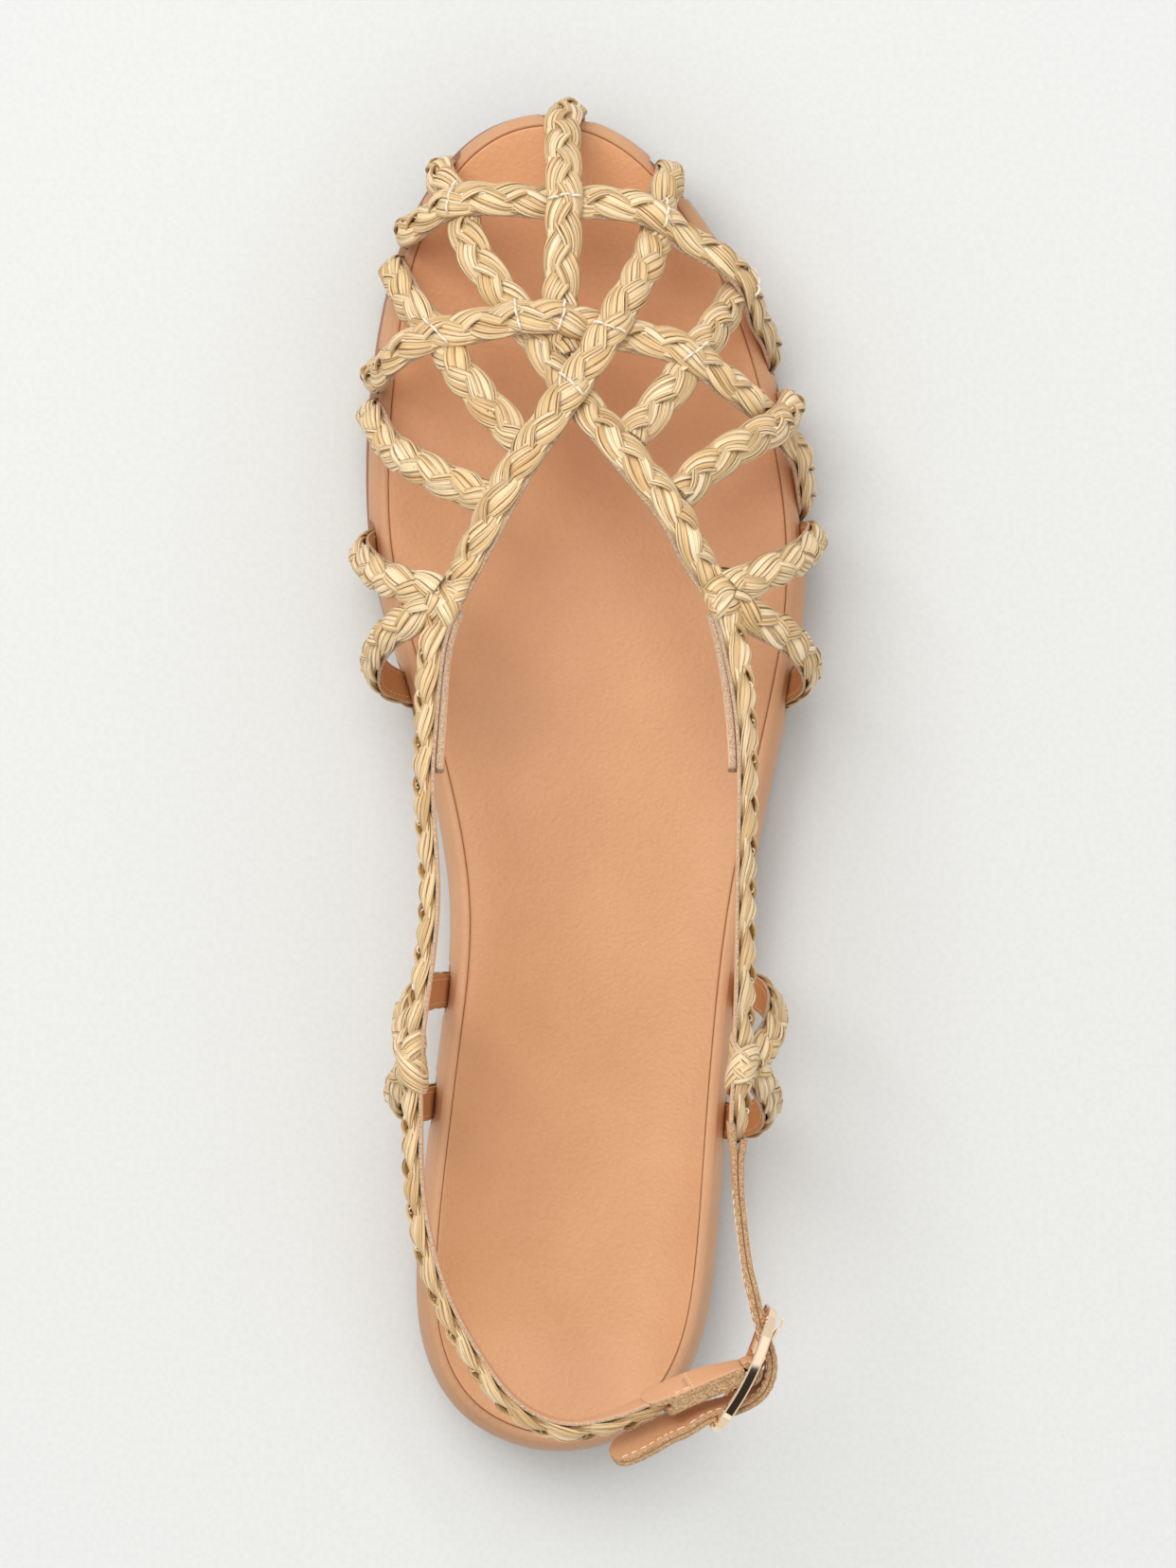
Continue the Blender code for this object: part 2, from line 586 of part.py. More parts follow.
def down_side(rows, side):
    """Points and normals for rows of along, z, out and lean on one side of the sole."""
    found = []
    for along, z, out, lean in rows:
        place, normal = beside_sole(along, side, out)
        level = normal * math.cos(math.radians(lean))
        found.append(np.array([*place, z, *level, math.sin(math.radians(lean))]))
    return found


def strap_paths():
    """Every braided strap as a list of points and outward normals, by name."""
    paths = {
        "main_b": into_sole(MAIN_B_FOOT) + on_last(MAIN_B, MAIN_TWIST) + level_run(SLING_B),
        "main_a": into_sole(MAIN_A_FOOT) + on_last(MAIN_A, MAIN_TWIST) + level_run(SLING_A),
        "toe_strap": into_sole(TOE_FOOT) + on_last(TOE_STRAP),
        "arc_1": (into_sole(ARC_1_FEET[0]) + on_last(ARC_1) + down_side(ARC_1_TAIL, 1)
                  + into_sole(ARC_1_FEET[1])[::-1]),
        "arc_2": (into_sole(ARC_2_FEET[0]) + on_last(ARC_2) + down_side(ARC_2_TAIL, 1)
                  + into_sole(ARC_2_FEET[1])[::-1]),
        "medial_2": into_sole(MEDIAL_2_FOOT) + on_last(MEDIAL_2),
        "medial_3": into_sole(MEDIAL_3_FOOT) + on_last(MEDIAL_3),
        "lateral_2": on_last(LATERAL_2),
        "lateral_3": into_sole(LATERAL_3_FOOT) + on_last(LATERAL_3),
    }
    loops = {
        "instep_m": (INSTEP_LOOP_M_FEET, INSTEP_LOOP_M),
        "instep_l": (INSTEP_LOOP_L_FEET, INSTEP_LOOP_L),
        "ankle_m": (ANKLE_LOOP_M_FEET, ANKLE_LOOP_M),
        "ankle_l": (ANKLE_LOOP_L_FEET, ANKLE_LOOP_L),
    }
    for name, (feet, rows) in loops.items():
        knot = max(range(len(rows)), key=lambda i: rows[i][2])
        paths[name + "_front"] = into_sole(feet[0]) + free(rows[:knot + 1])
        paths[name + "_back"] = into_sole(feet[1]) + free(rows[:knot - 1:-1])
    return {name: bend_stations(spline(rows, PATH_SAMPLES), STRAP_STEP, STRAP_TURN)
            for name, rows in paths.items()}


def beside_footbed(path):
    """The stretches of a strap's path, from either end, that lie below or just over the footbed's rim."""
    low = path[:, 2] < rim_height(path[:, 1]) + POCKET_REACH
    runs = []
    for ends, rows in ((low, path), (low[::-1], path[::-1])):
        if ends[0]:
            run = rows[:int(np.argmin(ends)) + 2].copy()
            run[0, :3] += unit(run[0, :3] - run[1, :3]) * GAP
            runs.append(run)
    return runs


# Pieces

def insole_plans():
    """Plan rings from the insole's edge in to the centre line."""
    spine = spine_ring()
    start, _ = edge_ring(INSOLE_INSET)
    return [start + (spine - start) * share for share in INSOLE_RINGS]


def seat_plans():
    """Plan rings shared by the outsole's top and the footbed's underside."""
    spine = spine_ring()
    start, _ = edge_ring(SIDE[0][1])
    return [start + (spine - start) * share for share in SEAT_RINGS]


def make_outsole(group):
    """The thin bottom, with a lip that shows at the toe and the medial forefoot."""
    ring, normal = edge_ring(0.0)
    front = np.clip((ring[:, 1] / SOLE_LENGTH - LIP_START) / LIP_GROWTH, 0, 1)
    lip = OUTSOLE_FRONT_LIP * front * np.clip(0.5 - normal[:, 0], 0, 1)
    spine = spine_ring()
    rings = [raised(spine, ground(spine[:, 1]))]
    for level, inset in OUTSOLE_EDGE:
        plan, _ = edge_ring(inset - lip)
        rings.append(raised(plan, ground(plan[:, 1]) + OUTSOLE_THICK * level))
    rings += [raised(plan, ground(plan[:, 1]) + OUTSOLE_THICK) for plan in seat_plans()]
    return loft("outsole", rings, group)


def make_footbed(group, helpers):
    """The padded core with its rounded side and a recess for the insole."""
    floor = OUTSOLE_THICK + GAP
    rings = [raised(plan, ground(plan[:, 1]) + floor) for plan in seat_plans()[::-1]]
    for level, inset in SIDE[1:]:
        plan, _ = edge_ring(inset)
        low = ground(plan[:, 1]) + floor
        rings.append(raised(plan, low + (rim_height(plan[:, 1]) - low) * level))
    recess = INSOLE_THICK + GAP
    corner, _ = edge_ring(RECESS_INSET)
    for plan in [corner] + insole_plans():
        rings.append(raised(plan, top_height(plan[:, 0], plan[:, 1]) - recess))
    footbed = loft("footbed", rings, group)
    pockets = bpy.data.collections.new("strap_pockets")
    helpers.children.link(pockets)
    for name, path in strap_paths().items():
        for i, run in enumerate(beside_footbed(path)):
            as_cutter(ribbon(f"pocket_{name}_{i}", run, STRAP_WIDTH + 2 * GAP, STRAP_THICK + 2 * GAP,
                             STRAP_CROWN, pockets))
    combine(footbed, pockets, "DIFFERENCE")
    return footbed


def make_insole(group):
    """The leather sock that lies in the footbed's recess."""
    plans = insole_plans()
    lower = [raised(p, top_height(p[:, 0], p[:, 1]) - INSOLE_THICK) for p in plans[::-1]]
    upper = [raised(p, top_height(p[:, 0], p[:, 1])) for p in plans]
    return loft("insole", lower + upper, group)


def make_knot(name, row, group):
    """A hitched knot as a small rounded lump on a sling."""
    bm = bmesh.new()
    bmesh.ops.create_uvsphere(bm, u_segments=KNOT_SEGMENTS, v_segments=KNOT_RINGS, radius=0.5)
    bmesh.ops.scale(bm, vec=KNOT_SIZE, verts=bm.verts)
    bmesh.ops.translate(bm, vec=row[:3], verts=bm.verts)
    return as_cutter(add_object(name, bm, group))


def make_upper(group, helpers):
    """All the braided straps and knots, joined where they cross."""
    joined = bpy.data.collections.new("joined_straps")
    helpers.children.link(joined)
    upper = None
    for name, path in strap_paths().items():
        first = upper is None
        strap = ribbon("upper" if first else name, path, STRAP_WIDTH, STRAP_THICK, STRAP_CROWN,
                       group if first else joined)
        if first:
            upper = strap
        else:
            as_cutter(strap)
    knots = {
        "instep_knot_m": on_last(MAIN_B)[-1],
        "instep_knot_l": on_last(MAIN_A)[-1],
        "ankle_knot_m": free(SLING_B)[ANKLE_KNOT_ROW],
        "ankle_knot_l": free(SLING_A)[ANKLE_KNOT_ROW],
    }
    for name, row in knots.items():
        make_knot(name, row, joined)
    combine(upper, joined, "UNION")
    return upper


def buckle_axes():
    """The buckle's centre with its along, outward and upright directions."""
    turn, lean = math.radians(BUCKLE_HEADING), math.radians(BUCKLE_LEAN)
    along = np.array([math.cos(turn), math.sin(turn), 0.0])
    level = np.array([math.sin(turn), -math.cos(turn), 0.0])
    up = np.array([0.0, 0.0, 1.0])
    outer = level * math.cos(lean) - up * math.sin(lean)
    upright = up * math.cos(lean) + level * math.sin(lean)
    return np.array(BUCKLE_CENTRE), along, outer, upright


def thread(rows):
    """Points and normals for rows in the buckle's own frame."""
    centre, along, outer, _ = buckle_axes()
    run = unit(np.gradient(np.array(rows, float), axis=0))
    found = []
    for (a, out), (run_a, run_out) in zip(rows, run):
        normal = along * run_out - outer * run_a
        found.append(np.concatenate([centre + along * a + outer * out, normal]))
    return found


def tube(name, path, radii, group, closed=False):
    """A bar swept along points with a frame, with its own width and thickness."""
    points, wide_axis, thick_axis = path
    bm = bmesh.new()
    rows = []
    for point, wide, thick in zip(points, wide_axis, thick_axis):
        turns = [2 * math.pi * i / ROUND_SIDES for i in range(ROUND_SIDES)]
        rows.append([bm.verts.new(point + wide * radii[0] * math.cos(t) + thick * radii[1] * math.sin(t))
                     for t in turns])
    pairs = list(zip(rows, rows[1:])) + ([(rows[-1], rows[0])] if closed else [])
    for lower, upper in pairs:
        for i in range(ROUND_SIDES):
            j = (i + 1) % ROUND_SIDES
            bm.faces.new((lower[i], lower[j], upper[j], upper[i]))
    if not closed:
        bm.faces.new(rows[0])
        bm.faces.new(rows[-1])
    return add_object(name, bm, group)


def centre_bar(name, radius, length, group):
    """A cylinder on the buckle's centre bar."""
    centre, along, outer, upright = buckle_axes()
    points = [centre - upright * length / 2, centre + upright * length / 2]
    return tube(name, (points, [along] * 2, [outer] * 2), (radius, radius), group)


def make_buckle_frame(group, helpers):
    """A bowed rounded frame with a bar across its middle."""
    centre, along, outer, upright = buckle_axes()
    half_long = (FRAME_LENGTH - FRAME_BAR_WIDE) / 2 - FRAME_CORNER
    half_high = (FRAME_HEIGHT - FRAME_BAR_WIDE) / 2 - FRAME_CORNER
    points, wides = [], []
    for corner, (sign_a, sign_u) in enumerate(((1, 1), (-1, 1), (-1, -1), (1, -1))):
        for step in range(CORNER_STEPS + 1):
            turn = math.pi / 2 * (corner + step / CORNER_STEPS)
            a = sign_a * half_long + FRAME_CORNER * math.cos(turn)
            u = sign_u * half_high + FRAME_CORNER * math.sin(turn)
            drop = FRAME_BOW * (2 * a / FRAME_LENGTH) ** 2
            points.append(centre + along * a + upright * u - outer * drop)
            wides.append(along * math.cos(turn) + upright * math.sin(turn))
    radii = (FRAME_BAR_WIDE / 2, FRAME_BAR_THICK / 2)
    frame = tube("buckle_frame", (points, wides, [outer] * len(points)), radii, group, closed=True)
    bar_length = FRAME_HEIGHT - FRAME_BAR_WIDE
    combine(frame, as_cutter(centre_bar("centre_bar", CENTRE_BAR_RADIUS, bar_length, helpers)), "UNION")
    return frame


def make_buckle_tab(group, helpers):
    """The folded leather tab with its eye round the centre bar and a notch for the prong."""
    path = resample(spline(level_run(TAB_PATH), PATH_SAMPLES), LEATHER_STEP)
    tab = ribbon("buckle_tab", path, LEATHER_WIDTH, TAB_THICK, 0.0, group)
    eye = centre_bar("tab_eye", TAB_LOOP_RADIUS, LEATHER_WIDTH - TAB_EYE_SHORT, helpers)
    combine(tab, as_cutter(eye), "UNION")
    bore = centre_bar("tab_bore", CENTRE_BAR_RADIUS + GAP, FRAME_HEIGHT, helpers)
    combine(tab, as_cutter(bore), "DIFFERENCE")
    centre, along, outer, upright = buckle_axes()
    reach = TAB_LOOP_RADIUS + TAB_NOTCH_BACK
    points = [centre - upright * TAB_NOTCH / 2, centre + upright * TAB_NOTCH / 2]
    notch = tube("tab_notch", (points, [along] * 2, [outer] * 2), (reach, reach), helpers)
    combine(tab, as_cutter(notch), "DIFFERENCE")
    return tab


def prong_points():
    """The prong's middle line: a hook round the bar, then out to the frame's end."""
    centre, along, outer, _ = buckle_axes()
    points = []
    for turn in PRONG_HOOK_TURNS:
        angle = math.radians(turn)
        points.append(centre + PRONG_HOOK_RADIUS * (along * math.cos(angle) + outer * math.sin(angle)))
    for a, out in PRONG_ROUTE:
        points.append(centre + along * a + outer * out)
    return resample(spline(points, PATH_SAMPLES), PRONG_STEP)


def prong_tube(name, radius, group):
    """A round bar along the prong's middle line."""
    points = prong_points()
    upright = buckle_axes()[3]
    tangent = unit(np.gradient(points, axis=0))
    thick = unit(np.cross(tangent, upright))
    return tube(name, (points, [upright] * len(points), thick), (radius, radius), group)


def make_buckle_strap(group, helpers):
    """The double leather strap, threaded through the buckle, with a hole for the prong."""
    rows = level_run(STRAP_RUN) + thread(STRAP_THREAD) + level_run(STRAP_TIP)
    path = resample(spline(rows, PATH_SAMPLES), LEATHER_STEP)
    strap = ribbon("buckle_strap", path, LEATHER_WIDTH, LEATHER_THICK, 0.0, group)
    hole = prong_tube("prong_hole", PRONG_RADIUS + PRONG_CLEARANCE, helpers)
    combine(strap, as_cutter(hole), "DIFFERENCE")
    return strap


def stand_on_origin(pieces):
    """Parents the pieces to an empty that puts the origin under the middle of their box."""
    bpy.context.view_layer.update()
    depsgraph = bpy.context.evaluated_depsgraph_get()
    corners = []
    for piece in pieces:
        corners += [tuple(vert.co) for vert in piece.evaluated_get(depsgraph).data.vertices]
    corners = np.array(corners)
    low, high = corners.min(axis=0), corners.max(axis=0)
    carrier = bpy.data.objects.new(NAME, None)
    bpy.context.scene.collection.objects.link(carrier)
    carrier.location = (-(low[0] + high[0]) / 2, -(low[1] + high[1]) / 2, -low[2])
    return carrier


def main():
    """Builds every piece and parents all of them to the carrier."""
    clear_scene()
    group = collection(NAME + "_pieces")
    helpers = collection(NAME + "_helpers", hidden=True)
    pieces = [
        make_outsole(group),
        make_footbed(group, helpers),
        make_insole(group),
        make_upper(group, helpers),
        make_buckle_frame(group, helpers),
        make_buckle_tab(group, helpers),
        prong_tube("buckle_prong", PRONG_RADIUS, group),
        make_buckle_strap(group, helpers),
    ]
    carrier = stand_on_origin(pieces)
    for thing in list(bpy.data.objects):
        if thing is not carrier:
            thing.parent = carrier


main()
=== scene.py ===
"""Looks of the raffia cage sandal: plaited straps, leather sole, buckle, floor, light and camera.

Tables are in millimetres in the shoe's own frame, as in the part's source: X to the lateral side, Y from the
heel's back end to the toe, Z up from the floor. Columns called along are shares of the sole's length.
"""
import math

import bmesh
import bpy
import numpy as np
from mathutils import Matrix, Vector


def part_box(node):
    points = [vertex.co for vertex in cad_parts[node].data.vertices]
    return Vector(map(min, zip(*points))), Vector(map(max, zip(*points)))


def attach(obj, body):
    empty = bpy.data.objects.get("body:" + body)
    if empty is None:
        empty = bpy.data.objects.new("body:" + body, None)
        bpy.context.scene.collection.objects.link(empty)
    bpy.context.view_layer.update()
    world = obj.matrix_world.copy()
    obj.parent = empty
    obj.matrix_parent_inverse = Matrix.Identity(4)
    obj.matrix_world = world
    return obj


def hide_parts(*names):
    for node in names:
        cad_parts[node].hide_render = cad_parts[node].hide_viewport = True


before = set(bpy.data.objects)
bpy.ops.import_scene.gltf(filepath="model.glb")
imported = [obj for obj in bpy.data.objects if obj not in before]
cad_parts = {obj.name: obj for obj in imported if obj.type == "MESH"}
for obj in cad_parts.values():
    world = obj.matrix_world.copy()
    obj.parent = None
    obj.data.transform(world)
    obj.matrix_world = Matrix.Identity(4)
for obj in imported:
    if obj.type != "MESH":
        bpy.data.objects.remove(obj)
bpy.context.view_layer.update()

MM = 0.001
BODY = "root"
SEED = 7
# Where the tables' zero lies in the frame
ORIGIN = np.array([0.0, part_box("outsole")[0].y, 0.0])

# Fineness: samples along splines, rows that give an edge's direction, step for slopes, gap that is closed
COLUMN_SAMPLES = 400
RUN_SAMPLES = 1600
OUTLINE_SAMPLES = 4001
EDGE_SPAN = 20
SLOPE_STEP = 0.05
MERGE_GAP = 1e-8

# Driving sizes
SOLE_LENGTH = 255.0
BALL_WIDTH = 84.0
INSTEP_HEIGHT = 35.0
TOE_BOX_HEIGHT = 12.0
TOE_BOX_DEPTH = 14.0
INSTEP_REACH = 110.0
LAST_FULLNESS = 2.3

# Sole outline, with columns along, medial, lateral
OUTLINE = (
    (0.022, -0.265, 0.138), (0.065, -0.360, 0.237), (0.122, -0.390, 0.282), (0.220, -0.369, 0.308),
    (0.318, -0.333, 0.332), (0.412, -0.315, 0.367), (0.518, -0.373, 0.431), (0.602, -0.444, 0.483),
    (0.667, -0.490, 0.498), (0.737, -0.500, 0.479), (0.804, -0.487, 0.431), (0.875, -0.448, 0.349),
    (0.935, -0.376, 0.233), (0.982, -0.256, 0.089),
)
HEEL_TIP_SIDE = -0.063
TOE_TIP_SIDE = -0.093
SPINE_ENDS = (0.10, 0.88)
RING_STATIONS = 150
TOE_SPRING = 8.0
SPRING_START = 0.765
ARCH_LIFT = 1.5
ARCH_ENDS = (0.29, 0.56)
OUTSOLE_THICK = 3.2
SOLE_GAP = 0.15
ARCH_PAD = 2.0
ARCH_PAD_PLACE = 0.39
ARCH_PAD_LENGTH = 0.11
DISH_POWER = 4
PAD_POWER = 8
# Outsole edge, with columns share of its thickness and how far it lies inside the outline
OUTSOLE_EDGE = ((0.0, 0.9), (0.08, 0.45), (0.25, 0.2), (0.5, 0.05), (0.8, 0.0), (0.93, 0.15), (1.0, 0.5))
OUTSOLE_SHARES = (0.0, 0.5, 0.8, 0.95)
OUTSOLE_TOP_INSET = 6.0
OUTSOLE_FRONT_LIP = 0.8
LIP_ENDS = (0.55, 0.75)
LIP_TURN = 0.5
# Footbed top, with columns along, height of the rim before toe spring, and how deep the middle lies
FOOTBED = (
    (0.00, 24.0, 3.5), (0.14, 24.0, 4.0), (0.31, 22.5, 2.5), (0.43, 21.0, 1.5), (0.65, 17.5, 1.0),
    (0.84, 15.5, 1.0), (1.00, 14.0, 1.0),
)
# Footbed side, with columns share of its height and how far it lies inside the outline
SIDE = ((0.00, 4.5), (0.12, 2.4), (0.30, 0.7), (0.52, 0.0), (0.76, 0.4), (0.91, 1.3), (1.00, 2.15))
SIDE_LEVELS = 26
# Dents under strap ends: soft margin, reach over the rim and in plan, rows skipped, gap and depth
DENT_MARGIN = 1.4
DENT_ABOVE = 4.0
DENT_NEAR = 9.0
DENT_STRIDE = 4
DENT_GAP = 0.1
DENT_LIMIT = 3.0

# Sock and its seat in the footbed, the seat with columns out from the sock's edge and depth
SOCK_THICK = 1.4
SOCK_PROUD = 0.22
SOCK_EDGE = 0.5
SOCK_EDGE_DROP = 0.25
SOCK_EDGE_RINGS = 6
SOCK_RINGS = 14
SOCK_UNDER_RINGS = 4
SOCK_SUNK = 0.8
SOCK_INSET = 4.0
SOCK_TOE_INSET = 2.7
SOCK_TOE_ENDS = (0.8, 0.95)
SOCK_GAP = 0.03
SEAT = ((-0.35, 0.0), (-0.12, 0.06), (-0.03, 0.35), (0.3, SOCK_THICK), (4.0, SOCK_THICK))
SEAT_GAP = 0.3

# Straps
STRAP_WIDTH = 7.2
STRAP_THICK = 3.8
LAST_CLEARANCE = 0.6
MAIN_TWIST = 30.0
TWIST_ENDS = (0.79, 0.64)
OVER = 1.8
UNDER = -1.6
TUCKED = -0.9
PATH_STEP = 1.1
TOE_STRAP_SIDE = -3.7
# Strap end down the footbed's side, with columns height over the outsole and out from the outline
DROP = ((2.6, -3.6), (3.7, -2.0), (5.6, -0.5), (8.0, 0.3), (10.5, 0.6))
# Straps on the last: a foot and rows. A foot has columns along, side of the sole, and slant towards the toe.
# Rows have columns along, across (-1 at the medial edge, 1 at the lateral edge), and lift over the last.
STRAPS = {
    "main_b": ((0.954, 1, 0.0), (
        (0.945, 0.90, 0.0), (0.931, 0.78, UNDER), (0.908, 0.63, UNDER), (0.882, 0.47, 0.0),
        (0.857, 0.32, OVER), (0.835, 0.21, OVER), (0.804, 0.06, OVER), (0.786, -0.03, OVER),
        (0.758, -0.16, OVER), (0.731, -0.28, OVER), (0.707, -0.37, OVER), (0.676, -0.49, 0.5),
        (0.637, -0.65, 0.0))),
    "main_a": ((0.957, -1, 0.0), (
        (0.947, -0.91, 0.0), (0.926, -0.71, UNDER), (0.900, -0.57, 0.0), (0.873, -0.43, 0.0),
        (0.838, -0.235, UNDER), (0.812, -0.12, UNDER), (0.790, -0.04, UNDER), (0.772, 0.05, UNDER),
        (0.746, 0.15, OVER), (0.718, 0.28, OVER), (0.691, 0.39, OVER), (0.666, 0.47, 0.5),
        (0.640, 0.57, 0.0))),
    "toe_strap": ((1.000, 0, 0.0), (
        (0.995, 0.33, 0.0), (0.971, 0.11, 0.0), (0.935, 0.06, OVER), (0.892, 0.0, 0.0),
        (0.843, -0.05, UNDER), (0.812, -0.05, TUCKED))),
    "arc_1": ((0.914, -1, 0.0), (
        (0.911, -0.97, 0.0), (0.918, -0.88, 0.0), (0.926, -0.68, OVER), (0.929, -0.43, 0.5),
        (0.930, -0.11, UNDER), (0.929, 0.10, UNDER), (0.926, 0.32, 0.5), (0.916, 0.60, OVER),
        (0.902, 0.75, 0.5), (0.885, 0.865, OVER), (0.868, 0.935, OVER))),
    "arc_2": ((0.806, -1, 0.0), (
        (0.803, -0.97, 0.0), (0.806, -0.93, 0.0), (0.813, -0.85, OVER), (0.825, -0.70, OVER),
        (0.833, -0.50, 0.5), (0.837, -0.28, OVER), (0.837, -0.06, OVER), (0.833, 0.17, UNDER),
        (0.824, 0.39, 0.0), (0.811, 0.55, OVER), (0.795, 0.70, 0.5), (0.780, 0.83, 0.0),
        (0.769, 0.93, UNDER))),
    "medial_2": ((0.882, -1, -0.1), (
        (0.876, -0.965, 0.0), (0.862, -0.89, 0.0), (0.846, -0.80, 0.0), (0.826, -0.68, UNDER),
        (0.806, -0.58, 0.0), (0.781, -0.45, 0.0), (0.762, -0.345, UNDER), (0.748, -0.26, TUCKED))),
    "medial_3": ((0.774, -1, -0.1), (
        (0.767, -0.96, 0.0), (0.750, -0.90, 0.0), (0.733, -0.76, 0.0), (0.719, -0.61, UNDER),
        (0.706, -0.40, TUCKED))),
    "lateral_2": (None, (
        (0.866, 0.94, TUCKED), (0.854, 0.885, UNDER), (0.834, 0.74, UNDER), (0.812, 0.59, UNDER),
        (0.794, 0.48, 0.0), (0.773, 0.35, UNDER), (0.752, 0.22, TUCKED))),
    "lateral_3": ((0.781, 1, 0.0), (
        (0.777, 0.965, OVER), (0.769, 0.93, OVER), (0.759, 0.85, OVER), (0.743, 0.68, 0.0),
        (0.728, 0.54, UNDER), (0.709, 0.42, TUCKED))),
}
# Straps that end down the lateral side: rows of along, height over the floor, out, lean; then the last foot
TAILS = {
    "arc_1": (((0.853, 24.0, -0.2, 22), (0.837, 17.6, 0.4, 5)), (0.826, 1, 0.35)),
    "arc_2": (((0.748, 25.0, 0.2, 15), (0.731, 18.4, 0.6, 3)), (0.716, 1, 0.35)),
}
# Straps that go on as slings, with columns x, along, z, and lean of the outer face from upright. The last row
# of the first is its end between the layers of the buckle tab.
SLINGS = {
    "main_b": (
        (-29.3, 0.597, 59.0, 30), (-29.9, 0.546, 61.0, 12), (-30.1, 0.498, 62.5, 3),
        (-29.3, 0.450, 64.0, 0), (-29.0, 0.416, 65.5, 0), (-29.8, 0.376, 66.8, 0), (-31.4, 0.328, 68.0, 0),
        (-32.0, 0.298, 68.5, 0), (-32.0, 0.254, 69.5, 0), (-31.7, 0.213, 70.5, 0), (-30.1, 0.173, 71.5, 0),
        (-27.5, 0.139, 72.5, 0), (-24.3, 0.112, 73.5, 0), (-20.3, 0.086, 74.3, 0), (-15.7, 0.062, 75.0, 0),
        (-10.5, 0.046, 75.0, 0), (-3.6, 0.038, 75.0, 0), (3.3, 0.042, 75.0, -4), (8.4, 0.049, 75.0, -8),
        (12.2, 0.056, 74.8, -11), (15.4, 0.0618, 74.6, -13), (18.4, 0.0668, 74.4, -15)),
    "main_a": (
        (27.6, 0.602, 59.5, 30), (28.9, 0.559, 61.0, 12), (29.3, 0.518, 62.5, 3), (29.1, 0.471, 64.0, 0),
        (28.8, 0.416, 65.5, 0), (28.7, 0.369, 67.0, 0), (28.4, 0.328, 68.0, 0), (28.1, 0.300, 68.5, 0),
        (27.6, 0.254, 69.0, 0), (27.4, 0.243, 69.3, 0)),
}
# Hitched loops: their front and back foot, and rows with the same columns as the slings, highest at the knot
LOOPS = {
    "instep_m": (((0.676, -1, -0.1), (0.570, -1, 0.1)), (
        (-43.0, 0.667, 32.0, 5), (-39.6, 0.652, 46.0, 35), (-34.4, 0.644, 54.0, 55),
        (-27.6, 0.638, 58.5, 60), (-32.4, 0.621, 55.5, 50), (-36.8, 0.612, 50.0, 40),
        (-39.8, 0.600, 42.0, 20), (-40.8, 0.589, 33.0, 0), (-39.4, 0.577, 23.0, -15))),
    "instep_l": (((0.682, 1, 0.0), (0.570, 1, 0.1)), (
        (43.0, 0.679, 33.0, 5), (40.8, 0.667, 44.0, 25), (36.2, 0.657, 52.5, 45), (31.0, 0.648, 57.0, 55),
        (26.4, 0.640, 59.0, 60), (31.0, 0.621, 56.0, 50), (36.0, 0.611, 50.5, 40), (40.2, 0.599, 43.0, 25),
        (42.0, 0.587, 34.0, 0), (41.4, 0.577, 24.0, -8))),
    "ankle_m": (((0.345, -1, 0.0), (0.262, -1, 0.0)), (
        (-31.0, 0.345, 30.0, -24), (-33.6, 0.338, 41.0, -12), (-34.2, 0.325, 52.0, 16),
        (-33.8, 0.311, 61.0, 30), (-33.0, 0.298, 67.0, 40), (-34.6, 0.287, 61.0, 30),
        (-35.8, 0.276, 52.0, 14), (-35.2, 0.267, 41.0, -12), (-33.2, 0.262, 30.0, -24))),
    "ankle_l": (((0.343, 1, 0.0), (0.247, 1, 0.0)), (
        (31.6, 0.347, 30.0, -26), (34.6, 0.339, 41.0, -12), (35.0, 0.326, 52.0, 18),
        (33.4, 0.312, 61.0, 36), (30.0, 0.299, 67.0, 45), (32.4, 0.286, 61.0, 36), (33.9, 0.273, 52.0, 16),
        (33.9, 0.261, 41.0, -12), (31.2, 0.251, 30.0, -26))),
}
ARMS = ("_front", "_back")

# Plait: three strands of flat raffia ribbons over a bed of straw
STRANDS = 3
PLAIT_WAVE = 23.5
PLAIT_SWING = 1.9
PLAIT_POINT = 0.03
PLAIT_DEPTH = 0.62
PLAIT_LIFT = 0.2
PLAIT_ROLL = 38.0
LEAF_SWELL = 0.25
LEAF_PLACE = 140.0
BED_SCALE = 1.42
BED_DEPTH = 0.38
TAPER_LENGTH = 7.0
TAPER_END = 0.5
EDGE_HOLD = 3.2
EDGE_GIVE = 0.5
EDGE_DROP = 0.6
# Strand: a core and ribbons round an arc, those past the side turn in the shaded tone. The core's darker tone
# is painted shade in the gaps between ribbons.
STRAND_HALF = 2.0
STRAND_CROWN = 0.52
CORE_WIDTH = 3.3
CORE_THICK = 1.05
CORE_SIDES = 8
CORE_SHORT = 3
RIBBONS = 10
RIBBON_ARC = 245.0
SIDE_TURN = 88.0
RIBBON_SPREAD = (0.3, 1.7)
RIBBON_FILL = 1.12
RIBBON_THICK = 0.17
RIBBON_TILT = 0.08
RIBBON_WAVER = 0.15
RIBBON_SHIFT = 500
RIBBON_PROFILE = ((1.0, -0.6), (0.6, 0.8), (-0.6, 0.8), (-1.0, -0.6))
IDENTS = (1, 900)
WANDER = 0.13
JITTER = 0.07
WAVER_LENGTHS = (11.0, 23.0, 41.0)
WAVER_SIZES = (0.4, 1.0)
UV_MARGIN = 0.01
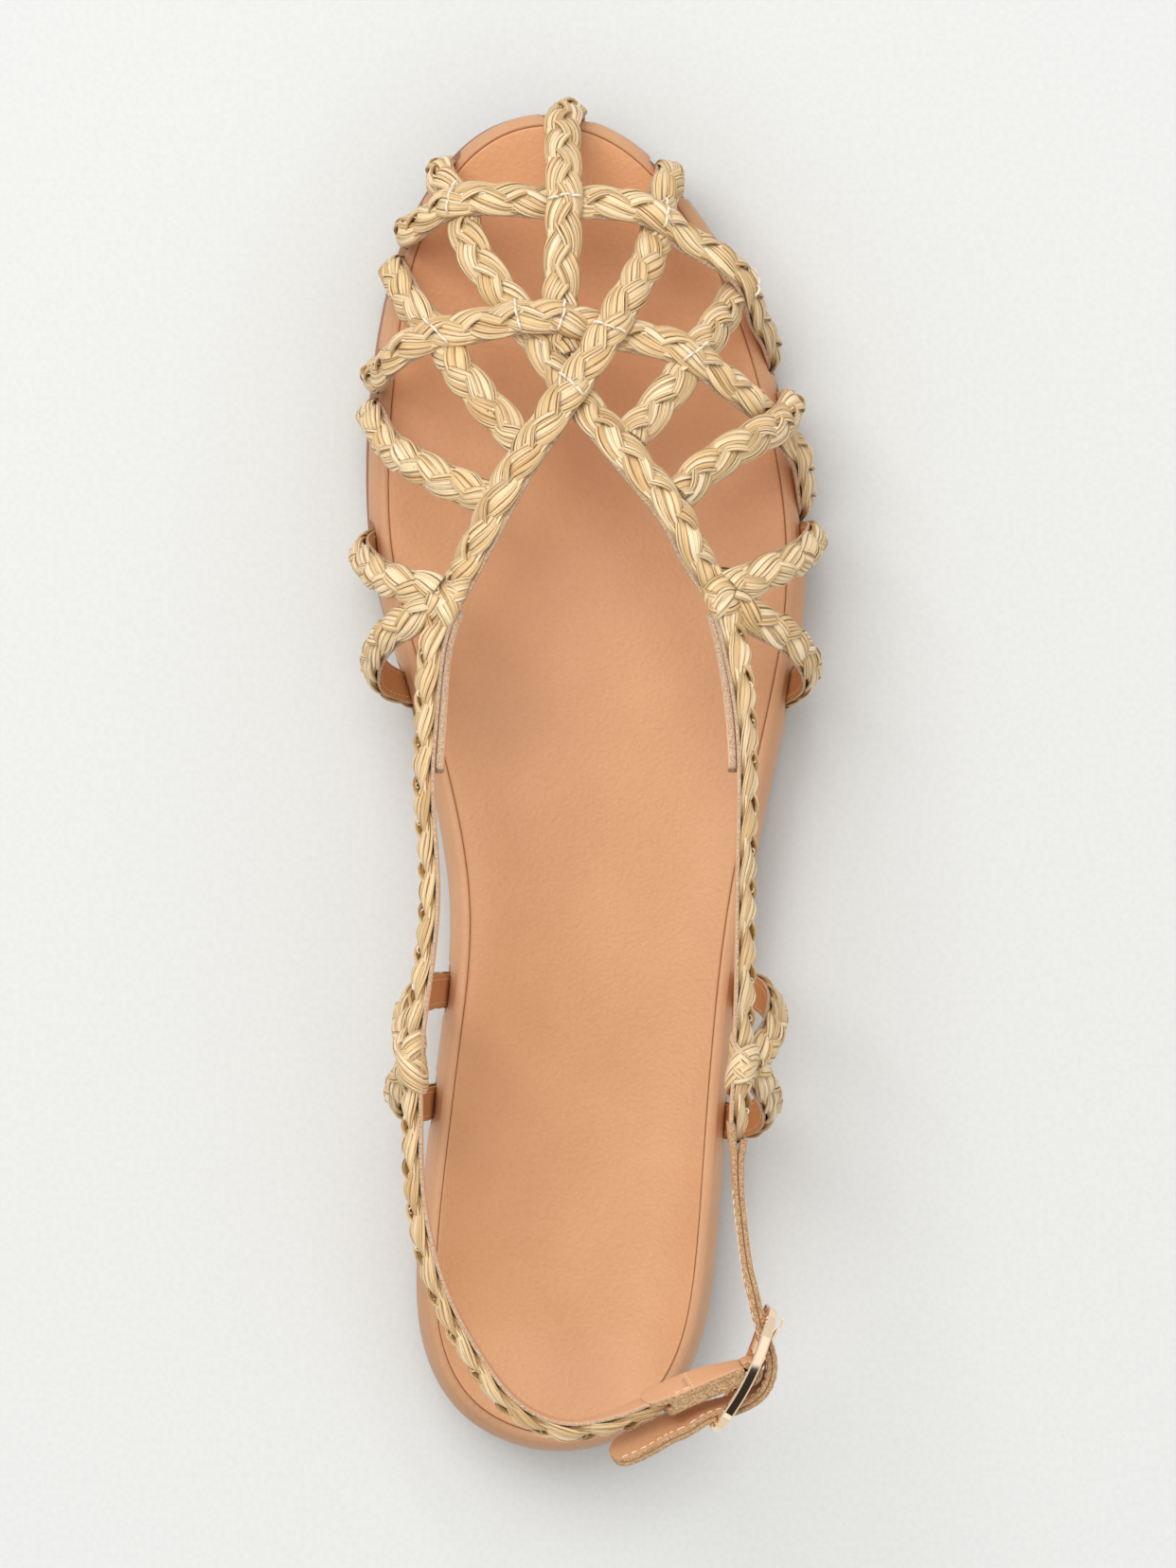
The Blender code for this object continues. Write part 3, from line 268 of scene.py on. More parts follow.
# Plaits whose chevrons point back to the start of the run; those of the others point to its end
TURNED_PLAITS = ("main_a", "toe_strap", "arc_1", "arc_2", "lateral_2", "lateral_3")
BRAID_GROUPS = {
    "medial_main_braid": ("main_b",),
    "lateral_main_braid": ("main_a",),
    "toe_arc_braids": ("toe_strap", "arc_1", "arc_2"),
    "toe_side_braids": ("medial_2", "medial_3", "lateral_2", "lateral_3"),
    "instep_loop_braids": ("instep_m_front", "instep_m_back", "instep_l_front", "instep_l_back"),
    "ankle_loop_braids": ("ankle_m_front", "ankle_m_back", "ankle_l_front", "ankle_l_back"),
}

# Lining of every strap, and a second one under the main straps: where they show at the inner side
LINING_WIDTH = 6.3
LINING_THICK = 0.85
LINING_SIDES = 16
LINING_SQUARE = 5.0
LINING_END = 0.508
LINING_SHOWS = (0.78, 0.70)
LINING_PEEP = 0.3
SECOND_LINING_SHOWS = (0.63, 0.53)
SECOND_LINING_PEEP = 0.25
SECOND_LINING_THICK = 1.7
# Which way the inner side of each main strap lies from its run
INNER_SIDE = {"main_b": -1.0, "main_a": 1.0}

# Stitches down the plaits
STITCH_PITCH = 3.4
STITCH_LENGTH = 1.5
STITCH_ROOM = (0.7, 1.1)
STITCH_SWAY = 0.25
STITCH_SHIFT = 0.15
STITCH_HEIGHT = 1.6
STITCH_DIP = np.array([-0.5, -0.08, 0.0, -0.08, -0.5])
STITCH_POINTS = 5
THREAD_THICK = 0.34
THREAD_SIDES = 6
# Stitches across the crossings, with columns start and end across the strap
SEWN_SPANS = ((-3.2, -1.3), (-1.2, 0.9), (1.0, 3.1))
SEWN_HEIGHT = 2.1
SEWN_ROUND = 0.085
SEWN_THICK = 0.48
SEWN_DIP = np.array([-0.45, 0.0, 0.08, 0.0, -0.45])
# Crossings sewn through: the strap on top, the strap under it, and how much the row of thread is askew
SEWN = (
    ("toe_strap", "arc_1", 0.1), ("arc_1", "main_a", -0.3), ("arc_1", "main_b", 0.25),
    ("arc_2", "medial_2", 0.7), ("arc_2", "main_a", 0.2), ("arc_2", "toe_strap", -0.15),
    ("arc_2", "lateral_2", -0.5), ("main_b", "arc_2", 0.2), ("main_b", "main_a", -0.2),
    ("arc_1", "lateral_2", 0.2),
)
# Seams along leather strips and loops
FINE_THREAD = 0.19
FINE_DIP = np.array([-0.25, 0.0, 0.06, 0.0, -0.25])
SEAM_INSET = 1.0
SEAM_PITCH = 1.7
SEAM_FILL = 0.84
SEAM_PROUD = 0.05
SEAM_END = 2.5
LOOP_SEAM = 2.2

# Knots: the main strap and the loop hitched round it; strands with columns offset, slant, start of the turn
KNOTS = (("main_b", "instep_m"), ("main_a", "instep_l"), ("main_b", "ankle_m"), ("main_a", "ankle_l"))
WRAP_STRANDS = ((-1.1, 2.8, 55), (1.1, -2.8, 55), (0.3, 1.6, -35))
WRAP_SIDE = 0.4
WRAP_LIFT = 0.1
WRAP_RISE = (1.9, 2.5, 2.2)
WRAP_STEPS = 60

# Buckle frame and prong
BUCKLE_CENTRE = (29.3, 20.4, 73.5)
BUCKLE_HEADING = 64.3
BUCKLE_LEAN = 2.0
FRAME_LENGTH = 24.6
FRAME_HEIGHT = 17.0
FRAME_CORNER = 3.4
FRAME_CORNERS = ((1, 1), (-1, 1), (-1, -1), (1, -1))
FRAME_CORNER_STEPS = 13
FRAME_STEP = 0.7
FRAME_BOW = 1.6
FRAME_BAR_WIDE = 2.8
FRAME_BAR_THICK = 1.9
FRAME_PROFILE = ((1.0, 0.72), (0.8, 1.0), (-0.8, 1.0), (-1.0, 0.72), (-1.0, -0.72), (-0.8, -1.0), (0.8, -1.0),
                 (1.0, -0.72))
FRAME_SHARP = 30.0
CENTRE_BAR_RADIUS = 1.0
CENTRE_BAR_STEPS = 12
CENTRE_BAR_SIDES = 20
# Prong route in the buckle's own frame, with columns along the frame and outward
PRONG_ROUTE = ((1.6, 1.55), (5.0, 1.6), (8.2, 1.3), (9.8, 1.75), (11.5, 1.3))
PRONG_HOOK_TURNS = (250, 200, 150, 100, 50)
PRONG_HOOK_RADIUS = 1.95
PRONG_RADIUS = 0.42
PRONG_SAMPLES = 300
PRONG_STEP = 0.5
PRONG_TAPER_ROWS = 8
PRONG_TIP = 0.45
PRONG_SIDES = 14

# Leather strap and tab, with the slings' columns
LEATHER_WIDTH = 9.4
LEATHER_THICK = 1.9
LEATHER_STEP = 0.7
LEATHER_SIDES = 24
LEATHER_SQUARE = 7.0
EDGE_FACE = 0.97
END_LEAST = 0.03
STRAP_RUN = ((27.6, 0.2575, 69.0, 0), (27.5, 0.2480, 69.2, 0), (27.3, 0.220, 70.0, 0), (28.0, 0.186, 71.0, 0),
             (28.8, 0.160, 72.0, 0), (29.5, 0.144, 72.7, -1))
STRAP_TIP = ((15.2, 0.0395, 72.9, -22), (9.6, 0.0285, 72.4, -26), (4.2, 0.0195, 71.8, -26))
# The strap's way through the buckle's own frame, with columns along the frame, outward, lean
STRAP_THREAD = ((12.4, -4.9, 0), (9.4, -2.6, 0), (6.5, 0.2, 0), (3.6, 2.7, 0), (0.4, 3.8, 0), (-2.6, 3.4, -3),
                (-5.2, 1.7, -6), (-7.8, -1.0, -8), (-10.9, -4.3, -10), (-13.4, -6.2, -16))
TIP_RADIUS = 4.0
START_RADIUS = 1.6
START_THICK = 1.45
START_THICK_REACH = 9.0
STRAP_SPLAY = 0.85
STRAP_SPLAY_REACH = 6.5
OUTER_LAYER_ROW = 5
LAYER_LAP = 0.04
TAB_PATH = ((10.6, 0.0530, 75.0, -13), (13.0, 0.0578, 74.8, -14), (17.0, 0.0650, 74.5, -16),
            (22.0, 0.0725, 74.0, -13), (28.3, 0.0795, 73.6, -5))
TAB_THICK = 3.5
TAB_LAYER = 1.5
TAB_OUTER_ROW = 4
TAB_FILL_ROW = 6
TAB_FILL_GAP = 0.06
TAB_SPLAY = 0.5
TAB_SPLAY_REACH = 4.0
TAB_LOOP_RADIUS = 2.4
TAB_FOLD_TURN = 125
TAB_FOLD_STEPS = 40
TAB_FOLD_NARROW = 0.1
TAB_SEAM_PLACE = 9.0
TAB_SEAM_START = 1.2
TAB_SEAM_STITCHES = 5
TAB_SEAM_MARGIN = 0.4
TAB_DIP = np.array([-0.25, 0.0, 0.05, 0.0, -0.25])

# Colours, dark to pale
WHITE = (1.0, 1.0, 1.0)
RAFFIAS = {
    "raffia": ((0.69, 0.445, 0.195), (0.83, 0.615, 0.345), (0.94, 0.79, 0.56)),
    # The core's darker tone is painted shade, for the shadow seen in the gaps between ribbons
    "raffia_core": ((0.40, 0.23, 0.085), (0.52, 0.325, 0.135), (0.64, 0.43, 0.20)),
    "raffia_shaded": ((0.46, 0.27, 0.105), (0.60, 0.385, 0.17), (0.73, 0.51, 0.265)),
}
STREAKS = ((0.30, 0.18, 0.07), (0.86, 0.78, 0.65), WHITE)
# Painted shade on each ribbon's edges, for the shadow in the gaps between ribbons
RIBBON_EDGE_SHADE = (0.74, 0.61, 0.44)
SUEDES = {
    "suede_edge": ((0.34, 0.18, 0.075), (0.58, 0.36, 0.19), (0.80, 0.57, 0.35)),
    "lining_edge": ((0.46, 0.28, 0.16), (0.68, 0.48, 0.32), (0.86, 0.68, 0.50)),
}
THREADS = {
    "thread": ((0.62, 0.52, 0.38), (0.86, 0.79, 0.66)),
    "brown_thread": ((0.42, 0.24, 0.12), (0.62, 0.40, 0.24)),
}
GOLD = (0.98, 0.77, 0.56)
GOLD_ROUGHNESS = (0.006, 0.014)
GRAIN_SHADE = (0.93, 0.90, 0.88)
# Leathers, with columns colours, roughness, grain, pores, grain size, painted shade at the heel (how far the
# colour is darkened there, where less light falls), and the ends of that painted shade along the shoe in
# metres
LEATHERS = {
    "sock": (((0.63, 0.31, 0.142), (0.67, 0.338, 0.16), (0.712, 0.371, 0.183)),
             0.46, 0.35, 0.35, 0.7, 0.84, (0.01, 0.075)),
    "wrap": (((0.53, 0.277, 0.140), (0.575, 0.308, 0.160), (0.62, 0.342, 0.182)),
             0.44, 0.2, 0.3, 0.6, 0.8, (-0.120, -0.075)),
    "strap": (((0.68, 0.37, 0.205), (0.73, 0.405, 0.23), (0.78, 0.44, 0.255)), 0.5, 0.25, 0.35, 0.6),
    # The tail leather is the strap leather made darker: painted shade for the tab's shadow on the strap
    "tail": (((0.53, 0.275, 0.138), (0.575, 0.305, 0.155), (0.62, 0.335, 0.175)), 0.5, 0.25, 0.35, 0.6),
    "loop": (((0.40, 0.16, 0.05), (0.47, 0.195, 0.065), (0.54, 0.235, 0.085)), 0.6, 0.25, 0.4, 0.6),
    "outsole": (((0.25, 0.12, 0.065), (0.33, 0.17, 0.095), (0.42, 0.23, 0.13)), 0.6, 0.4, 0.4, 0.9),
}
# Patterns: stretch across and along a ribbon, shares of tones, scales per metre, places on colour ramps,
# and bumps with columns strength and depth
FIBRE_STRETCH = (8.0, 0.04, 1.0)
PATCH_STRETCH = (1.7, 0.06, 1.0)
OWN_TONE = 0.45
PATCH_TONE = 0.75
STREAK_SHARE = 0.85
RIBBON_MIDDLE = 0.375
CLOUD_SCALE = 38.0
PORE_SCALE = 2600.0
NAP_SCALE = 2800.0
TWIST_SCALE = 3000.0
MARK_SCALE = 900.0
MARK_STRETCH = (1.0, 1.0, 0.25)
GRAIN_SHARE = 0.8
TONE_PLACES = (0.22, 0.5, 0.82)
STREAK_PLACES = (0.36, 0.47, 0.60)
EDGE_SHADE_PLACES = (0.16, 0.32)
CLOUD_PLACES = (0.3, 0.55, 0.8)
GRAIN_PLACES = (0.0, 0.9)
NAP_PLACES = (0.36, 0.5, 0.64)
TWIST_PLACES = (0.3, 0.6)
FLOOR_PLACES = (0.3, 0.7)
FIBRE_BUMP = (0.7, 0.4)
NAP_BUMP = (1.0, 0.6)
TWIST_BUMP = (0.4, 0.1)
GRAIN_DEPTH = 0.25
PORE_DEPTH = 0.12

# Floor, sky with a dark patch ringed by a bright one, lights with columns place, size, power
FLOOR_COLOURS = ((0.62, 0.63, 0.62), (0.65, 0.66, 0.65))
FLOOR_SCALE = 900.0
FLOOR_HALF = 3.0
SKY_POWER = 0.78
DARK_SKY = (0.05, 0.045, 0.04)
DARK_PATCH = (0.06, -0.26, 0.964)
SKY_RINGS = (((0.1482, 0.1488), (1.35, 1.35, 1.35)), ((0.22, 0.32), WHITE))
LIGHTS = {"key": ((-0.45, 0.75, 1.80), 1.3, 29.0), "fill": ((0.45, -1.0, 0.9), 1.2, 1.5)}
LIGHT_COLOUR = (1.0, 0.985, 0.965)
LIGHT_TARGET = (0.0, 0.0, 0.03)
# Camera: straight above, as in the photo
PHOTO_HEIGHT = 1656
CAMERA_HEIGHT = 1300.0
CAMERA_ALONG = 127.3
CAMERA_REACH = 10.0
FOCAL_PIXELS = 7112.0
SENSOR = 36.0


# Curves and frames

def spline(knots, samples, closed=False):
    """Samples a smooth cubic through the knots, any number of columns wide."""
    points = np.asarray(knots, float)
    if closed:
        points = np.vstack([points, points[:1]])
    count = len(points)
    chords = np.linalg.norm(np.diff(points[:, :3], axis=0), axis=1)
    knot_at = np.concatenate([[0.0], np.cumsum(np.sqrt(chords))])
    span = np.diff(knot_at)
    system = np.zeros((count, count))
    target = np.zeros_like(points)
    for i in range(1, count - 1):
        system[i, i - 1:i + 2] = span[i - 1], 2 * (span[i - 1] + span[i]), span[i]
        target[i] = 6 * ((points[i + 1] - points[i]) / span[i] - (points[i] - points[i - 1]) / span[i - 1])
    if closed:
        system[0, 0], system[0, -1] = 1, -1
        system[-1, [0, 1, -2, -1]] = 2 * span[0], span[0], span[-1], 2 * span[-1]
        target[-1] = 6 * ((points[1] - points[0]) / span[0] - (points[-1] - points[-2]) / span[-1])
    else:
        system[0, 0] = system[-1, -1] = 1
    bend = np.linalg.solve(system, target)
    at = np.linspace(0.0, knot_at[-1], samples)
    i = np.clip(np.searchsorted(knot_at, at, side="right") - 1, 0, count - 2)
    t = (at - knot_at[i])[:, None]
    h = span[i][:, None]
    slope = (points[i + 1] - points[i]) / h - h * (2 * bend[i] + bend[i + 1]) / 6
    return points[i] + slope * t + bend[i] * t ** 2 / 2 + (bend[i + 1] - bend[i]) * t ** 3 / (6 * h)


def lengths_along(path):
    """Length from a path's start to each of its rows."""
    return np.concatenate([[0.0], np.cumsum(np.linalg.norm(np.diff(path[:, :3], axis=0), axis=1))])


def resample(path, step):
    """Spaces a path's rows evenly along its length."""
    lengths = lengths_along(path)
    at = np.linspace(0.0, lengths[-1], max(3, int(round(lengths[-1] / step)) + 1))
    return np.stack([np.interp(at, lengths, values) for values in path.T], axis=1)


def unit(vectors):
    """Scales each vector to length one."""
    return vectors / np.linalg.norm(vectors, axis=-1, keepdims=True)


def squared(vectors, heading):
    """Vectors turned square to a heading."""
    return unit(vectors - heading * np.sum(vectors * heading, axis=1, keepdims=True))


def tall(values):
    """Values as one column."""
    return np.reshape(values, (-1, 1))


def grown(value, ends):
    """Share from 0 at the first end to 1 at the second."""
    return np.clip((value - ends[0]) / (ends[1] - ends[0]), 0, 1)


def column(table, index):
    """A smooth function of along through one column of a table."""
    curve = spline([(row[0] * SOLE_LENGTH, row[index]) for row in table], COLUMN_SAMPLES)
    return lambda y: np.interp(y, curve[:, 0], curve[:, 1])


class Run:
    """A strap's middle line with its heading, its outward normal, its sideways direction and its length."""

    def __init__(self, rows, step=PATH_STEP):
        path = resample(spline(rows, RUN_SAMPLES), step)
        self.at = path[:, :3]
        self.heading = unit(np.gradient(self.at, axis=0))
        self.normal = squared(path[:, 3:6], self.heading)
        self.side = np.cross(self.heading, self.normal)
        self.length = lengths_along(self.at)

    def off(self, side, out):
        """The middle line moved sideways and outward."""
        return self.at + self.side * tall(side) + self.normal * tall(out)

    def between(self, spots):
        """Points, sideways directions and normals at lengths along the run."""
        return [np.stack([np.interp(spots, self.length, values) for values in rows.T], axis=1)
                for rows in (self.at, self.side, self.normal)]


# The sole's outline and heights

def outline_curves():
    """Medial and lateral edges of the sole as fine curves from heel tip to toe tip."""
    lateral = [(row[2] * BALL_WIDTH, row[0] * SOLE_LENGTH) for row in OUTLINE]
    medial = [(row[1] * BALL_WIDTH, row[0] * SOLE_LENGTH) for row in OUTLINE]
    heel = [(HEEL_TIP_SIDE * BALL_WIDTH, 0.0)]
    toe = [(TOE_TIP_SIDE * BALL_WIDTH, SOLE_LENGTH)]
    loop = spline(heel + lateral + toe + medial[::-1], OUTLINE_SAMPLES, closed=True)
    tip = int(np.argmax(loop[:, 1]))
    return loop[tip:][::-1], loop[:tip + 1]


MEDIAL_EDGE, LATERAL_EDGE = outline_curves()
RIM = column(FOOTBED, 1)
DISH = column(FOOTBED, 2)


def edge_x(y):
    """Medial and lateral x of the outline at a station."""
    return [np.interp(y, edge[:, 1], edge[:, 0]) for edge in (MEDIAL_EDGE, LATERAL_EDGE)]


def middle_x(y):
    """The sole's centre line."""
    medial, lateral = edge_x(y)
    return (medial + lateral) / 2


def toe_spring(y):
    """How far the toe is lifted."""
    return TOE_SPRING * np.clip((y / SOLE_LENGTH - SPRING_START) / (1 - SPRING_START), 0, None) ** 2


def ground(y):
    """Height of the sole's underside: flat at heel and ball, lifted at the arch and the toe."""
    return toe_spring(y) + ARCH_LIFT * np.sin(math.pi * grown(y / SOLE_LENGTH, ARCH_ENDS)) ** 2


def rim_height(y):
    """Height of the footbed's rim over the floor."""
    return RIM(y) + toe_spring(y)


def top_height(x, y):
    """Height of the sock's bed, dished between the rims, with a pad under the arch."""
    medial, lateral = edge_x(y)
    half = np.maximum((lateral - medial) / 2 - SOCK_INSET, 1.0)
    across = np.clip((x - middle_x(y)) / half, -1, 1)
    ends = np.clip(np.minimum(y, SOLE_LENGTH - y) / (SOLE_LENGTH * SPINE_ENDS[0]), 0, 1)
    dish = DISH(y) * (1 - across ** DISH_POWER) * np.sin(ends * math.pi / 2) ** 2
    pad = ARCH_PAD * np.exp(-((y / SOLE_LENGTH - ARCH_PAD_PLACE) / ARCH_PAD_LENGTH) ** 2)
    return rim_height(y) - dish + pad * np.clip(-across, 0, 1) ** 2 * (1 - across ** PAD_POWER)


def outline_ring():
    """Plan points and outward normals of the outline, heel to toe and back."""
    sides = []
    for edge in (LATERAL_EDGE, MEDIAL_EDGE):
        pick = np.linspace(0, len(edge) - 1, RING_STATIONS + 1).round().astype(int)
        sides.append(edge[pick])
    ring = np.vstack([sides[0], sides[1][-2:0:-1]])
    heading = unit(np.roll(ring, -1, axis=0) - np.roll(ring, 1, axis=0))
    return ring, np.stack([heading[:, 1], -heading[:, 0]], axis=1)


RING, RING_NORMAL = outline_ring()


def inset_ring(inset):
    """The outline moved inward."""
    return RING - RING_NORMAL * tall(inset)


def spine_ring():
    """The outline drawn together onto the sole's centre line, each pair of sides on one point."""
    along = RING[:, 1].copy()
    for i in range(1, RING_STATIONS):
        along[i] = along[-i] = (RING[i, 1] + RING[-i, 1]) / 2
    low, high = (SOLE_LENGTH * end for end in SPINE_ENDS)
    y = low + (high - low) * along / SOLE_LENGTH
    return np.stack([middle_x(y), y], axis=1)


SPINE = spine_ring()


def raised(plan, height):
    """Plan points with a height for each."""
    return np.column_stack([plan, np.broadcast_to(height, len(plan))])


def over_ground(plan, rise):
    """Plan points raised over the sole's underside."""
    return raised(plan, ground(plan[:, 1]) + rise)


def over_bed(plan, rise):
    """Plan points raised over the sock's bed."""
    return raised(plan, top_height(plan[:, 0], plan[:, 1]) + rise)


# Strap routes

def outward(x, y):
    """Level direction away from the middle of the shoe."""
    low, high = (SOLE_LENGTH * end for end in SPINE_ENDS)
    inner = np.clip(y, low, high)
    return unit(np.array([x - middle_x(inner), y - inner]))


def leaning(level, lean):
    """A level direction tilted upward by an angle."""
    turn = math.radians(lean)
    return np.array([*(level * math.cos(turn)), math.sin(turn)])


def last_height(x, y):
    """Height of the straps' middle on the last."""
    medial, lateral = edge_x(y)
    half = (lateral - medial) / 2 + LAST_CLEARANCE
    back = np.clip(SOLE_LENGTH + LAST_CLEARANCE - y, 0, None)
    toe = np.sqrt(1 - (1 - np.minimum(back / TOE_BOX_DEPTH, 1)) ** 2)
    instep = 1 - (1 - np.minimum(back / INSTEP_REACH, 1)) ** 2
    crown = TOE_BOX_HEIGHT * toe + INSTEP_HEIGHT * instep
    across = np.clip(np.abs(x - (medial + lateral) / 2) / half, 0, 1)
    return rim_height(y) + crown * (1 - across ** LAST_FULLNESS) ** (1 / LAST_FULLNESS)


def on_last(rows, twist):
    """Points and normals for rows of along, across and lift, turned on edge towards the knots."""
    found = []
    for along, across, lift in rows:
        y = along * SOLE_LENGTH
        medial, lateral = edge_x(y)
        x = (medial + lateral) / 2 + across * ((lateral - medial) / 2 + LAST_CLEARANCE)
        slope_x = (last_height(x + SLOPE_STEP, y) - last_height(x - SLOPE_STEP, y)) / (2 * SLOPE_STEP)
        slope_y = (last_height(x, y + SLOPE_STEP) - last_height(x, y - SLOPE_STEP)) / (2 * SLOPE_STEP)
        normal = unit(np.array([-slope_x, -slope_y, 1.0]))
        point = np.array([x, y, last_height(x, y)]) + normal * lift
        turn = math.radians(twist * grown(along, TWIST_ENDS))
        level = np.append(outward(x, y), 0.0)
        found.append(np.concatenate([point, unit(normal * math.cos(turn) + level * math.sin(turn))]))
    return found


def free(rows):
    """Points and normals for rows of x, along, z and lean, on straps that climb."""
    found = []
    for x, along, z, lean in rows:
        y = along * SOLE_LENGTH
        found.append(np.array([x, y, z, *leaning(outward(x, y), lean)]))
    return found


def level_run(rows):
    """The same for straps that run level, whose outer face is square to the run."""
    found = free(rows)
    run = unit(np.gradient(np.array([row[:2] for row in found]), axis=0))
    for i, row in enumerate(found):
        square = np.array([run[i, 1], -run[i, 0]])
        square *= math.copysign(1.0, square @ row[3:5])
        row[3:5] = square * np.linalg.norm(row[3:5])
    return found


def beside_sole(along, side, out):
    """A plan point beside the outline, and the outline's normal there."""
    if side == 0:
        return np.array([TOE_STRAP_SIDE, SOLE_LENGTH + out]), np.array([0.0, 1.0])
    edge = MEDIAL_EDGE if side < 0 else LATERAL_EDGE
    nearest = int(np.argmin(np.abs(edge[:, 1] - along * SOLE_LENGTH)))
    run = unit(edge[min(nearest + EDGE_SPAN, len(edge) - 1)] - edge[max(nearest - EDGE_SPAN, 0)])
    normal = np.array([run[1], -run[0]]) * side
    return edge[nearest] + normal * out, normal


def into_sole(foot):
    """Points from a strap's foot on the outsole, if it has one, up the side of the footbed."""
    found = []
    for height, out in DROP if foot else ():
        along, side, slant = foot
        shift = slant * (height - DROP[-1][0])
        place, normal = beside_sole(along + shift / SOLE_LENGTH, side, out)
        base = ground(along * SOLE_LENGTH) + OUTSOLE_THICK
        found.append(np.array([*place, base + height, *normal, 0.0]))
    return found


def down_side(rows, side):
    """Points and normals for rows of along, z, out and lean on one side of the sole."""
    found = []
    for along, z, out, lean in rows:
        place, normal = beside_sole(along, side, out)
        found.append(np.array([*place, z, *leaning(normal, lean)]))
    return found


def strap_runs():
    """Every braided strap's run, by name."""
    rows = {}
    for name, (foot, table) in STRAPS.items():
        rows[name] = into_sole(foot) + on_last(table, MAIN_TWIST if name in SLINGS else 0.0)
        if name in SLINGS:
            rows[name] += level_run(SLINGS[name])
        if name in TAILS:
            tail, end = TAILS[name]
            rows[name] += down_side(tail, end[1]) + into_sole(end)[::-1]
    for name, (feet, table) in LOOPS.items():
        knot = max(range(len(table)), key=lambda i: table[i][2])
        for arm, foot, part in zip(ARMS, feet, (table[:knot + 1], table[:knot - 1:-1])):
            rows[name + arm] = into_sole(foot) + free(part)
    return {name: Run(points) for name, points in rows.items()}


# Meshes

class Soup:
    """Vertices, faces, face-corner UVs and material numbers gathered into one mesh."""

    def __init__(self):
        self.verts, self.faces, self.uvs, self.mats = [], [], [], []
        self.count = 0

    def add(self, corners, uv, mats):
        """Adds faces on the vertices that come next, with corner UVs and material numbers."""
        self.faces.append(corners + self.count)
        self.uvs.append(uv)
        self.mats.append(mats)

    def skin(self, rings, along=None, ident=0, mats=0, caps=True):
        """Adds a surface through a stack of rings, closed round each ring and capped at both ends."""
        rows, cols = rings.shape[:2]
        index = np.arange(rows * cols).reshape(rows, cols)
        turn = np.column_stack([index, index[:, 0]])
        quads = np.stack([turn[:-1, :-1], turn[:-1, 1:], turn[1:, 1:], turn[1:, :-1]], axis=-1)
        u = np.linspace(0.0, 1.0, cols + 1) * (1 - 2 * UV_MARGIN) + UV_MARGIN + ident
        v = np.arange(rows, dtype=float) if along is None else np.asarray(along)
        uv = np.zeros(quads.shape + (2,))
        uv[:, :, [0, 3], 0] = u[None, :-1, None]
        uv[:, :, [1, 2], 0] = u[None, 1:, None]
        uv[:, :, :2, 1] = v[:-1, None, None]
        uv[:, :, 2:, 1] = v[1:, None, None]
        numbers = np.broadcast_to(mats, (rows - 1, cols)).reshape(-1)
        self.add(quads.reshape(-1, 4), uv.reshape(-1, 4, 2), numbers)
        if caps:
            for ring in (index[:1, ::-1], index[-1:]):
                self.add(ring, np.full((1, cols, 2), 0.5 + ident), numbers[:1])
        self.verts.append(rings.reshape(-1, 3))
        self.count += rows * cols


def new_object(name, data):
    """An object in the scene."""
    thing = bpy.data.objects.new(name, data)
    bpy.context.scene.collection.objects.link(thing)
    return thing


def to_mesh(name, soup):
    """Makes one smooth mesh, in metres, of what a soup holds."""
    mesh = bpy.data.meshes.new(name)
    verts = np.vstack(soup.verts) * MM + ORIGIN
    corners = np.concatenate([f.ravel() for f in soup.faces])
    sizes = np.concatenate([np.full(len(f), f.shape[1]) for f in soup.faces])
    starts = np.concatenate([[0], np.cumsum(sizes)[:-1]])
    uvs = np.concatenate([u.reshape(-1, 2) for u in soup.uvs])
    mesh.vertices.add(len(verts))
    mesh.vertices.foreach_set("co", verts.astype(np.float32).ravel())
    mesh.loops.add(len(corners))
    mesh.loops.foreach_set("vertex_index", corners.astype(np.int32))
    mesh.polygons.add(len(sizes))
    mesh.polygons.foreach_set("loop_start", starts.astype(np.int32))
    mesh.polygons.foreach_set("material_index", np.concatenate(soup.mats).astype(np.int32))
    layer = mesh.uv_layers.new(name="strand")
    layer.data.foreach_set("uv", uvs.astype(np.float32).ravel())
    mesh.update(calc_edges=True)
    bm = bmesh.new()
    bm.from_mesh(mesh)
    bmesh.ops.remove_doubles(bm, verts=bm.verts, dist=MERGE_GAP)
    bmesh.ops.recalc_face_normals(bm, faces=bm.faces)
    bm.to_mesh(mesh)
    bm.free()
    mesh.shade_smooth()
    return mesh


def piece(name, soup, materials, replaces=()):
    """An object that rides on the shoe, with its materials, and stands for CAD nodes."""
    thing = new_object(name, to_mesh(name, soup))
    for made in materials:
        thing.data.materials.append(made)
    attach(thing, BODY)
    if replaces:
        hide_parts(*replaces)
    return thing


def shell(name, rings, material, slot):
    """A piece through rings that start and end on the sole's spine, which stands for the slot's CAD node."""
    soup = Soup()
    soup.skin(np.array(rings), caps=False)
    return piece(name, soup, [material], [slot])


def round_rectangle(sides, square):
    """Points of a rounded rectangle two wide and two high."""
    turn = np.linspace(0, 2 * math.pi, sides, endpoint=False) + math.pi / sides
    c, s = np.cos(turn), np.sin(turn)
    power = 2 / square
    return np.stack([np.sign(c) * np.abs(c) ** power, np.sign(s) * np.abs(s) ** power], axis=1)


def round_profile(sides):
    """Points of a circle of radius one."""
    turn = np.linspace(0, 2 * math.pi, sides, endpoint=False)
    return np.stack([np.cos(turn), np.sin(turn)], axis=1)


